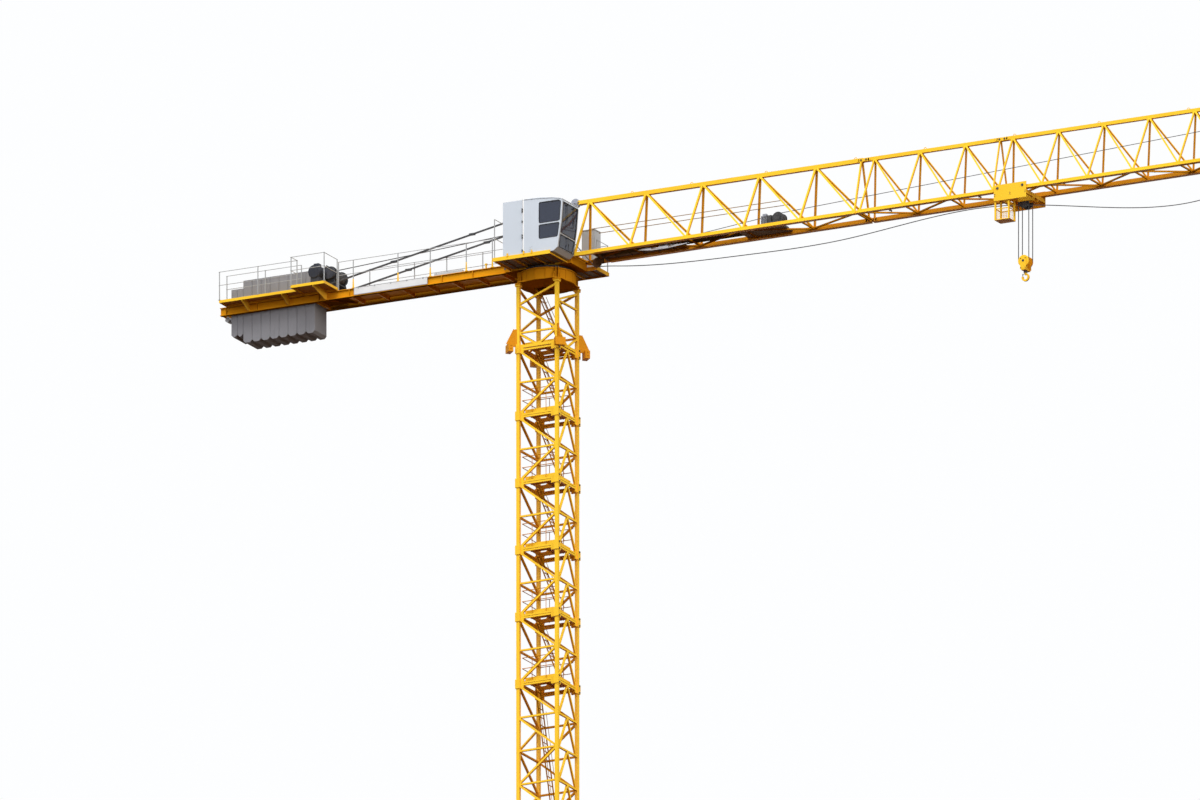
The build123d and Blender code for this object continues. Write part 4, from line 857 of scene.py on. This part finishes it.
def cab_door(form):
    """The rear door's raised leaf and hinges, and four louvres low in the near side."""
    x, z = CAB_LOW.x, CAB_LOW.z
    form.bevel = 0.002
    form.box((x - 0.008, -0.82, z + 0.06), (x + 0.001, -0.5, z + 0.95))
    for level in (0.17, 0.77):
        form.post((x - 0.012, -0.825, z + level), 0.06, 0.008, 8)
    for level in (0.01, 0.05, 0.09, 0.13):
        form.box((0.12, CAB_LOW.y - 0.004, z + level), (0.2, CAB_LOW.y + 0.001, z + level + 0.008))


def cab_seat(form):
    """The driver's seat, its column and the two lever consoles."""
    z = CAB_LOW.z + 0.02
    form.bevel = 0.012
    form.box((0.2, -0.76, z + 0.2), (0.44, -0.54, z + 0.27))
    form.box((0.15, -0.76, z + 0.24), (0.21, -0.54, z + 0.62))
    form.box((0.14, -0.71, z + 0.63), (0.19, -0.59, z + 0.74))
    form.post((0.31, -0.65, z), 0.2, 0.04, 12)
    for y in (-0.84, -0.48):
        form.box((0.22, y - 0.035, z), (0.5, y + 0.035, z + 0.31))
        form.rod((0.44, y, z + 0.31), (0.45, y, z + 0.4), 0.008, 8)
        form.rod((0.45, y, z + 0.4), (0.453, y, z + 0.43), 0.016, 8)


def lip_hooks(form):
    """Small hooks on the near platform's outer lip."""
    for x in (-0.3, 0.03, 0.19):
        form.block((x, CAB_LOW.y - 0.018, TRAY_HIGH.z + 0.012), (0.012, 0.009, 0.03))


# Counter-jib, winch and ballast

def rail_feet(form):
    """Tapered sockets that hold the counter-jib's rail posts, and a mooring cleat."""
    for side in (-1, 1):
        for x in RAIL_POSTS:
            foot = Vector((x, side * 0.32, BEAM_HIGH.z))
            form.post(foot, 0.17, 0.017, 8, 0.010)
            form.block(foot + Vector((0, -side * 0.012, 0.005)), (0.03, 0.022, 0.005))
    cleat = Vector((-1.08, -0.31, BEAM_HIGH.z))
    form.block(cleat + UP * 0.045, (0.01, 0.012, 0.045))
    form.block(cleat + UP * 0.075, (0.024, 0.014, 0.009))


def rail_clamps(form):
    """Small clamps where the rails cross the posts, and flanges at the feet."""
    deck = BEAM_HIGH.z + 0.05
    for x, y in ((-6.293, -0.608), (-5.52, -0.608), (-4.733, -0.608), (-4.733, -0.838),
                 (-4.067, -0.838), (-6.293, -0.32), (-5.52, -0.32)):
        form.block((x, y, deck + 0.004), (0.02, 0.016, 0.004))
        for level in (deck + 0.2756, deck + 0.524):
            form.rod((x - 0.012, y, level), (x + 0.012, y, level), 0.0085, 8)
    for x, y in ((-0.57, 0.77), (0, 0.77), (0.805, 0.77), (-0.57, -0.965)):
        form.block((x, y, CAB_LOW.z + 0.004), (0.02, 0.013, 0.004))


def web_stiffeners(form):
    """Upright plates welded into the beams' outer channels."""
    half = (BEAM_HIGH.z - BEAM_LOW.z) / 2
    for x in steps(BEAM_LOW.x + 0.12, -0.8, 0.62):
        for side in (-1, 1):
            form.block((x, side * 0.31, BEAM_LOW.z + half), (0.005, 0.016, half - 0.011))


def tie_pins(form):
    """Pins and split collars at both ends of each tie and at its middle joints."""
    for y in (-0.282, 0.282):
        for share in (0.0, 0.33, 0.66, 0.985):
            place = TIE_FOOT.lerp(TIE_HEAD, share) + Vector((0, y, 0))
            if share:
                form.block(place, (0.06, 0.016, 0.02))
            form.pin(place, 0.021, 0.017, 12)
            form.pin(place, 0.024, 0.008, 8)


def board_frame(form):
    """The blank board's folded edge and the straps that hold it to the beam."""
    low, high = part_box("side_board")
    y, fold = low.y - 0.003, 0.004
    for z in (low.z, high.z):
        form.box((low.x, y, z - fold), (high.x, y + 0.006, z + fold))
    for x in (low.x, high.x):
        form.box((x - fold, y, low.z), (x + fold, y + 0.006, high.z))
    for share in (0.06, 0.28, 0.5, 0.72, 0.94):
        x = low.x + (high.x - low.x) * share
        form.box((x - 0.012, y - 0.001, high.z - 0.02),
                 (x + 0.012, y + 0.01, BEAM_HIGH.z + 0.003))


def power_duct(form):
    """A short pale cable duct on top of the near beam, with its clips."""
    y, z = -0.3, BEAM_HIGH.z
    form.bevel = 0.002
    form.box((-2.13, y - 0.012, z), (-1.56, y + 0.05, z + 0.05))
    for x in (-2.09, -1.85, -1.6):
        form.box((x - 0.01, y - 0.015, z), (x + 0.01, y + 0.053, z + 0.054))


def drum_rope(form):
    """The hoist rope's turns on its drum."""
    form.winding(Vector((WINCH.x, 0, WINCH.z)), 0.1115, 0.188, 0.0128, 0.0061)


def drum_bolts(form):
    """Flat bolt heads on the drum's flanges, clear of the bearing plates."""
    for side in (-1, 1):
        hub = (WINCH.x, side * 0.205, WINCH.z)
        for place in round_axle(hub, 0.075, row(0, pi / 5, 10)):
            form.rod(place, place + Vector((0, side * 0.0025, 0)), 0.009, 6)


def motor_fins(form):
    """Cooling fins, a fan cowl with louvres and a terminal box on the hoist motor."""
    x, z = MOTOR.x, MOTOR.z
    for y in row(-0.52, 0.0195, 11):
        form.pin((x, y, z), 0.003, 0.131, 20)
    form.rod((x, -0.553, z), (x, -0.515, z), 0.118, 20)
    for aside in row(-0.09, 0.03, 7):
        half = (0.112 ** 2 - aside ** 2) ** 0.5
        form.block((x + aside, -0.557, z), (0.006, 0.005, half))
    form.box((x - 0.05, -0.47, z + 0.11), (x + 0.05, -0.36, z + 0.165))
    form.rod((x - 0.05, -0.42, z + 0.14), (x - 0.11, -0.42, z + 0.1), 0.012, 8)


def winch_gear(form):
    """A round gear case with bolts at one end of the winch, two brakes at the other."""
    def disc(hub, start, end, radius):
        form.rod((hub.x, start, hub.z), (hub.x, end, hub.z), radius, 24)

    disc(WINCH, 0.262, 0.3, 0.1)
    disc(WINCH, 0.3, 0.325, 0.07)
    for place in round_axle((WINCH.x, 0.3, WINCH.z), 0.085, row(0, pi / 4, 8)):
        form.bolt(place, (0, 1, 0), 0.008)
    disc(WINCH + Vector((0.02, 0, 0)), -0.302, -0.24, 0.11)
    disc(MOTOR, -0.305, -0.24, 0.1)


def drum_guard(form):
    """A curved guard behind the drum, with a bar along both of its edges."""
    reach = DRUM_RADIUS + 0.022
    hinge = Vector((WINCH.x, -0.222, WINCH.z))
    width = Vector((0, 0.444, 0))
    start = round_axle(hinge, reach, [radians(115)])[0]
    edge = form.bm.edges.new([form.bm.verts.new(spot) for spot in (start, start + width)])
    bmesh.ops.spin(form.bm, geom=[edge], cent=hinge, axis=(0, -1, 0), angle=radians(120), steps=12)
    bmesh.ops.solidify(form.bm, geom=form.bm.faces[:], thickness=0.004)
    form.outward()
    for place in round_axle(hinge, reach + 0.01, (radians(112), radians(-60))):
        form.rod(place, place + width, 0.01, 12)


def slab_eyes(form):
    """Two lifting eyes in the top of each ballast slab."""
    for x, top in SLAB_TOPS:
        for y in (-0.13, 0.13):
            form.eye((x, y, top), (0, 0.022, 0), 0.03, 0.0045)


def slab_rods(form):
    """The steel bars that clamp the slabs together, with their plates."""
    x, z = SLAB_HIGH.x, SLAB_HIGH.z - 0.09
    for y in (-0.16, 0.16):
        form.rod((x - 0.002, y, z), (x + 0.012, y, z), 0.03, 6)
        form.block((x + 0.003, y, z), (0.003, 0.045, 0.045))


def floor_end(form):
    """The floor's last plate in front of the ballast, with a brace under it."""
    z = BEAM_LOW.z + 0.072
    form.box((-4.515, -0.252, z), (-3.98, 0.252, z + 0.006))
    form.rod((-4.5, -0.24, z - 0.02), (-3.95, 0.24, z - 0.02), 0.016, 6)


def tail_lamp(form):
    """A small grey housing under the end of the counter-jib."""
    x, z = -6.37, BEAM_LOW.z - 0.035
    form.rod((x, -0.16, z), (x, -0.02, z), 0.042, 16)
    for y in (-0.13, -0.05):
        form.box((x - 0.02, y - 0.008, z), (x + 0.02, y + 0.008, BEAM_LOW.z + 0.03))


# Head, turntable and cabinet

def eye_pins(form):
    """The pin of the head's link eye and the pins of its plates."""
    x, z = 0.565, CHORD_TOP - 0.042
    form.pin((x, 0, z), 0.05, 0.031, 20)
    for side in (-1, 1):
        form.rod((x, side * 0.03, z), (x, side * 0.04, z), 0.052, 20)
        form.bolt((x, side * 0.048, z), (0, side, 0), 0.016)
        for end, level in ((0.305, z - 0.07), (0.64, z)):
            form.rod((end, side * 0.029, level), (end, side * 0.046, level), 0.02, 12)


def sheave_guard(form):
    """A rope guard over the head wheel, and the nuts of its shaft."""
    arc = round_axle(HEAD_WHEEL, 0.128, row(pi * 0.2, pi * 0.1, 7))
    for y in (-0.024, 0.024):
        form.loop([place + Vector((0, y, 0)) for place in arc], 0.004)
    for place in arc[::3]:
        form.pin(place, 0.026, 0.004, 6)
    for side in (-1, 1):
        form.bolt(HEAD_WHEEL + Vector((0, side * 0.2645, 0)), (0, side, 0), 0.022)


def head_pins(form):
    """Pins at the feet of the head's posts and stays, with their cheek plates."""
    z = TABLE_TOP + 0.045
    for y in (-0.24, 0.24):
        for x in (0.25, -0.33):
            form.pin((x, y, z), 0.036, 0.022, 14)
            for step in (-0.029, 0.029):
                form.block((x, y + step, z - 0.005), (0.045, 0.004, 0.04))


def slewing_motors(form):
    """Two upright slewing gear motors on the turntable, one each side."""
    for y in (-0.14, 0.14):
        foot = Vector((-0.52, y, TABLE_TOP))
        for start, height, radius in (
                [(0, 0.05, 0.1), (0.05, 0.15, 0.075), (0.2, 0.03, 0.088), (0.23, 0.19, 0.07)]
                + [(fin, 0.006, 0.078) for fin in row(0.25, 0.02, 8)] + [(0.42, 0.04, 0.06)]):
            form.post(foot + UP * start, height, radius, 20)


def table_bolts(form):
    """The ring of bolts under the turntable, and the jib's and the beams' foot pins."""
    for side in (-1, 1):
        for x, end, drop, radius in ((0.642, 0.318, 0, 0.018), (-0.7, 0.312, 0.08, 0.02)):
            z = CHORD_Z - drop
            form.rod((x, side * 0.262, z), (x, side * end, z), radius, 14)
    for place in round_mast(40, 0.352, TABLE_LOW + 0.022):
        form.bolt(place, UP, 0.008)


def cabinet_doors(form):
    """Two door leaves, handles, louvres and a rain roof."""
    low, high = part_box("switch_cabinet")
    form.bevel = 0.0015
    bottom, top = low.z + 0.03, high.z - 0.03
    for x, out in ((low.x, -0.002), (high.x, 0.002)):
        form.box((x, low.y + 0.012, bottom), (x + out * 3, high.y - 0.012, top))
        form.box((x + out * 4, high.y - 0.045, low.z + 0.36),
                 (x + out * 7, high.y - 0.03, low.z + 0.44))
        for z in row(low.z + 0.08, 0.022, 6):
            form.box((x + out * 2, low.y + 0.05, z), (x + out * 5, high.y - 0.05, z + 0.01))
    for y, out in ((low.y, -0.005), (high.y, 0.005)):
        form.box((low.x + 0.015, y, bottom), (high.x - 0.015, y + out, top))
    form.box((low.x - 0.012, low.y - 0.012, high.z),
             (high.x + 0.012, high.y + 0.012, high.z + 0.014))


def tray_ribs(form):
    """Folded ribs under both side platforms."""
    half = 0.006
    for places, start, end in (
            ((-0.42, -0.25, -0.08, 0.08, 0.3, 0.45), TRAY_LOW.y + 0.013, -TRAY_GAP),
            ((-0.4, -0.2, 0.0, 0.25, 0.5, 0.68), TRAY_GAP, 0.776)):
        for x in places:
            form.box((x - half, start, TRAY_LOW.z + 0.012), (x + half, end, TRAY_LOW.z + 0.031))


def tray_shade_sheets(form):
    """Sheets of painted shade between the ribs under both side platforms."""
    z = TRAY_LOW.z + 0.0285
    form.box((TRAY_BACK, TRAY_LOW.y + 0.013, z), (0.57, -TRAY_GAP, z + 0.0015))
    form.box((TRAY_BACK, TRAY_GAP, z), (0.775, 0.776, z + 0.0015))


# Jib

def joint_sides():
    """Each chord joint's place and half width, and the sides that its plates lie on."""
    for x in JIB_JOINTS:
        for y, z, half in JOINT_CHORDS:
            for side in (-y / abs(y),) if y else (-1, 1):
                yield x, y, z, half, side


def jib_pins(form):
    """The pins where the jib's sections join."""
    for x, y, z, half, side in joint_sides():
        face = y + side * (half + 0.005)
        for step in (-0.05, 0.05):
            form.rod((x + step, face - side * 0.004, z), (x + step, face + side * 0.012, z),
                     0.017, 14)


def jib_plates(form):
    """Long cheeks with round ends at every chord joint and at the jib's root."""
    for x, y, z, half, side in joint_sides():
        face = y + side * (half + 0.002)
        form.block((x, face, z), (0.11, 0.005, 0.03))
        for end in (-0.11, 0.11):
            form.pin((x + end, face, z), 0.005, 0.03, 16)
    z = CHORD_TOP - 0.038
    for side in (-1, 1):
        form.block((0.74, side * 0.041, z), (0.09, 0.004, 0.034))
        form.rod((JIB_ROOT, side * 0.037, z), (JIB_ROOT, side * 0.046, z), 0.04, 18)


def jib_eyes(form):
    """Small lifting eyes on the top chord at every other bay."""
    for x in (1.7, 2.9, 4.4, 6.2, 7.6, 9.4, 11.1, 12.9, 14.4):
        top = CHORD_TOP - (0 if x < JIB_JOINTS[0] else 0.005)
        form.eye((x, 0, top - 0.004), (0.03, 0, 0), 0.04, 0.006)


def node_plates(form):
    """Thin gussets where the diagonals meet the top chord."""
    for x, half in TOP_NODES:
        z = CHORD_TOP - half * 2 - (0 if half > 0.035 else 0.005)
        for side in (-1, 1):
            form.block((x, side * (half - 0.008), z - 0.012), (0.05, 0.003, 0.02))


def end_stops(form):
    """Stops for the trolley at both ends of its runway."""
    for x in (1.15, 14.6):
        for side in (-1, 1):
            form.block((x, side * 0.337, RUNWAY_Z + 0.034), (0.02, 0.012, 0.02))


def rope_rollers(form):
    """Small guide rollers over the floor lattice for the trolley rope."""
    z = CHORD_Z + 0.04
    for x in (6.9, 8.7, 10.4, 12.2, 13.8):
        form.pin((x, 0, z), 0.04, 0.016, 12)
        for y in (-0.045, 0.045):
            form.box((x - 0.006, y - 0.003, CHORD_Z + 0.013), (x + 0.006, y + 0.003, z + 0.01))


def walk_bars(form):
    """The grating's bearing bars, its toe strips and the joints of its panels."""
    low, high = WALK_LOW, WALK_HIGH
    for y in (low.y, high.y - 0.004):
        form.box((low.x, y, high.z), (high.x, y + 0.004, high.z + 0.02))
    for x in steps(low.x + 0.03, high.x, 0.06):
        form.box((x - 0.002, low.y, low.z - 0.003), (x + 0.002, high.y, low.z))
    for share in range(1, 8):
        x = low.x + (high.x - low.x) * share / 8
        form.box((x - 0.003, low.y, high.z), (x + 0.003, high.y, high.z + 0.003))


def floor_plates(form):
    """Plates that close the floor of the first two bays beside the walkway."""
    reach = JIB_HALF - 0.035
    z = WALK_LOW.z
    for a, b in ((-reach, WALK_LOW.y), (WALK_HIGH.y, reach)):
        form.box((1.02, a, z), (2.72, b, z + 0.006))
        for x in row(1.3, 0.28, 5):
            form.box((x - 0.004, a, z - 0.014), (x + 0.004, b, z))


def root_guard(form):
    """Rope guards and shaft ends on the wheel at the jib's foot."""
    hub = Vector((1.0, 0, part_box("root_sheave")[0].z + 0.09))
    for side in (-1, 1):
        form.rod(hub + Vector((0, side * 0.026, 0)), hub + Vector((0, side * 0.036, 0)), 0.03, 16)
    for place in round_axle(hub, 0.098, row(pi * 1.15, pi * 0.16, 5)):
        form.pin(place, 0.028, 0.004, 6)


def silver_tube(form):
    """A bright tube slung under the jib's floor, tapered at both ends."""
    tube, tip = 0.04, 0.006
    tail, rear, front, nose = (Vector((x, -0.02, CHORD_Z - 0.001)) for x in (1.8, 2.1, 2.45, 2.85))
    form.rod(rear, front, tube, 20)
    form.rod(tail, rear, tip, 20, tube)
    form.rod(front, nose, tube, 20, tip)
    form.smooth = True


def trolley_drum_rope(form):
    """The trolley rope's turns on its drum."""
    form.winding(WALK_DRUM, 0.1, 0.07, 0.0105, 0.005, 16)


def trolley_motor_fins(form):
    """Fins and a terminal box on the trolley winch's motor."""
    x, z = WALK_DRUM.x - 0.2, WALK_DRUM.z + 0.02
    for fin in row(x - 0.125, 0.018, 7):
        form.box((fin, -0.104, z - 0.11), (fin + 0.004, -0.01, z + 0.045))
    form.box((x - 0.105, -0.08, z + 0.045), (x - 0.03, -0.02, z + 0.085))


def trolley_drum_rims(form):
    """The flanges and shaft ends of the trolley winch's drum."""
    for y in (-0.098, 0.098):
        form.pin(WALK_DRUM + Vector((0, y, 0)), 0.006, 0.05, 18)
        form.pin(WALK_DRUM + Vector((0, y * 0.86, 0)), 0.004, 0.108, 24)


def winch_tray(form):
    """A wide tray that carries the trolley winch across the jib's floor."""
    start, end, half = 3.9, 4.8, 0.25
    top = WALK_LOW.z - 0.001
    form.box((start, -half, top - 0.004), (end, half, top))
    for y in (-half, half):
        form.box((start, y - 0.003, top - 0.004), (end, y + 0.003, top + 0.02))


# Trolley and hook

def truck_bolts(form):
    """Axle ends and bolts on the outside of the trolley's side plates."""
    for side in (-1, 1):
        y = TRUCK.y * side
        for x in (TRUCK.x - 0.25, TRUCK.x + 0.25):
            form.rod((x, y - side * 0.002, TRUCK.z), (x, y + side * 0.01, TRUCK.z), 0.024, 16)
        for x in (-0.305, 0, 0.305):
            for z in (-0.082, -0.05):
                form.bolt((TRUCK.x + x, y, RUNWAY_Z + z), (0, side, 0), 0.007)


def basket_mesh(form):
    """Wire mesh on the service basket's sides and rear."""
    low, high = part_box("service_basket")
    wire, pitch = 0.002, 0.03
    sides = (low.y + 0.004, high.y - 0.004)
    for x in steps(low.x + pitch, high.x - 0.02, pitch):
        for y in sides:
            form.post((x, y, low.z), 0.21, wire, 4)
    for z in row(low.z + pitch, pitch, 6):
        for y in sides:
            form.rod((low.x, y, z), (high.x, y, z), wire, 4)
        form.rod((low.x + 0.004, low.y, z), (low.x + 0.004, high.y, z), wire, 4)


def hook_latch(form):
    """The safety latch across the hook's mouth and its pin."""
    z = HOOK_LOW.z + 0.085
    form.pin((HOOK_X - 0.052, 0, z + 0.048), 0.024, 0.006, 10)
    form.block((HOOK_X - 0.058, 0, z + 0.02), (0.004, 0.01, 0.034))


def hook_nut(form):
    """The hook's nut and thrust bearing, and the cheeks' bolts."""
    axle = Vector((HOOK_X, 0, HOOK_HIGH.z - 0.107))
    form.post(axle - UP * 0.205, 0.04, 0.036, 6)
    form.post(axle - UP * 0.162, 0.012, 0.04, 20)
    for side in (-1, 1):
        y = side * 0.1025
        form.rod(axle + Vector((0, y - 0.006, 0)), axle + Vector((0, y + 0.008, 0)), 0.022, 16)
        for z in (0.045, -0.13):
            for x in (-0.045, 0.045):
                form.bolt(axle + Vector((x, side * 0.102, z)), (0, side, 0), 0.007)


# The body and the finish of each piece, which is named after its function
PIECES = (
    ("mast", STEEL, joint_pins, anchor_nuts, ring_bolts),
    ("mast", MAST_PAINT, foot_stiffeners, mast_pads),
    ("mast", DECK_PAINT, deck_ribs),
    ("mast", BRACKET_PAINT, bracket_ribs),
    # a darker copy of the yellow: painted shade on these mast parts
    ("mast", SHADED_YELLOW_PAINT, mast_guard_rails, support_lugs, leg_cap_plates, ladder_lines),
    ("upper_works", CAB, cab_corners, cab_trim, cab_door),
    ("upper_works", RUBBER, cab_seals, cab_front_seals, cab_clamps, cab_wipers, cab_seat),
    ("upper_works", STRIP, cab_strip),
    ("upper_works", RAIL, cab_grips, rail_clamps, board_frame),
    ("upper_works", GREY, power_duct, tail_lamp, cabinet_doors),
    ("upper_works", PAINT, lip_hooks, rail_feet, jib_plates, jib_eyes, node_plates, end_stops),
    ("upper_works", BEAM_PAINT, web_stiffeners, floor_end),
    ("upper_works", TIE, tie_pins),
    ("upper_works", WINCH_PAINT, motor_fins, winch_gear, slewing_motors),
    ("upper_works", STEEL, drum_guard, slab_eyes, slab_rods, sheave_guard, head_pins,
     table_bolts, jib_pins, rope_rollers, trolley_drum_rims),
    ("upper_works", MOTOR_PAINT, eye_pins, trolley_motor_fins),
    # a darker copy of the yellow: painted shade on the platforms' ribs
    ("upper_works", SHADED_YELLOW_PAINT, tray_ribs),
    ("upper_works", SHADE_PAINT, tray_shade_sheets, floor_plates, root_guard, winch_tray),
    ("upper_works", GRATE, walk_bars),
    ("upper_works", BRIGHT, silver_tube),
    ("upper_works", ROPE, trolley_drum_rope),
    ("drum", ROPE, drum_rope),
    ("drum", STEEL, drum_bolts),
    ("trolley", STEEL, truck_bolts, hook_nut),
    ("trolley", PAINT, basket_mesh),
    ("trolley", RAIL, hook_latch))


# Stage

def point_at(thing, target):
    thing.rotation_euler = (target - thing.location).to_track_quat("-Z", "Y").to_euler()


def build_camera():
    """A parallel camera that looks up at the crane, as in the photo."""
    data = bpy.data.cameras.new("view")
    data.type = "ORTHO"
    data.ortho_scale = VIEW_WIDTH
    data.clip_end = VIEW_REACH
    camera = bpy.data.objects.new("view", data)
    bpy.context.scene.collection.objects.link(camera)
    away = Vector((sin(VIEW_TURN) * cos(VIEW_RISE), -cos(VIEW_TURN) * cos(VIEW_RISE),
                   -sin(VIEW_RISE)))
    camera.location = VIEW_TARGET + away * VIEW_BACK
    point_at(camera, VIEW_TARGET)
    bpy.context.scene.camera = camera


def build_sky():
    """A white surround that is seen, and a broad bright sky that falls from the front."""
    world = bpy.data.worlds.new("studio")
    bpy.context.scene.world = world
    world.use_nodes = True
    sky = Graph(world.node_tree)
    looks = sky.add("ShaderNodeTexCoord").outputs["Generated"]
    frontal = sky.vector("DOT_PRODUCT", looks, Vector(FRONT).normalized())["Value"]
    glow = sky.spread(frontal, 0.0, 1.0, SKY_LIGHT, FRONT_LIGHT)
    level = sky.add("ShaderNodeMix", {0: sky.seen(), 2: glow, 3: 1.0}).outputs[0]
    background = sky.add("ShaderNodeBackground", {"Color": SKY_WHITE, "Strength": level})
    sky.add("ShaderNodeOutputWorld", {"Surface": background.outputs[0]})


def build_suns():
    for name, place, power, soft, tint in SUNS:
        data = bpy.data.lights.new(name, "SUN")
        data.energy = power
        data.angle = radians(soft)
        data.color = tint
        lamp = bpy.data.objects.new(name, data)
        lamp.location = place
        point_at(lamp, SUN_TARGET)
        bpy.context.scene.collection.objects.link(lamp)


def build_floor():
    """A pale floor that the low camera looks through from below."""
    f = Finish("floor")
    pale = f.add("ShaderNodeBsdfDiffuse", {"Color": f.blend(f.seen(), BOUNCE, FLOOR_PALE)})
    clear = f.add("ShaderNodeBsdfTransparent")
    below = f.add("ShaderNodeNewGeometry").outputs["Backfacing"]
    mixed = f.add("ShaderNodeMixShader", {0: below, 1: pale.outputs[0], 2: clear.outputs[0]})
    f.add("ShaderNodeOutputMaterial", {"Surface": mixed.outputs[0]})
    floor = piece("floor", None, f.material, lambda form: bmesh.ops.create_grid(
        form.bm, x_segments=1, y_segments=1, size=FLOOR_HALF))


bpy.context.scene.view_settings.view_transform = "Standard"
build_camera()
build_sky()
build_suns()
build_floor()
paint_frame()
for body, finish, *builds in PIECES:
    for build in builds:
        piece(build.__name__, body, finish, build)
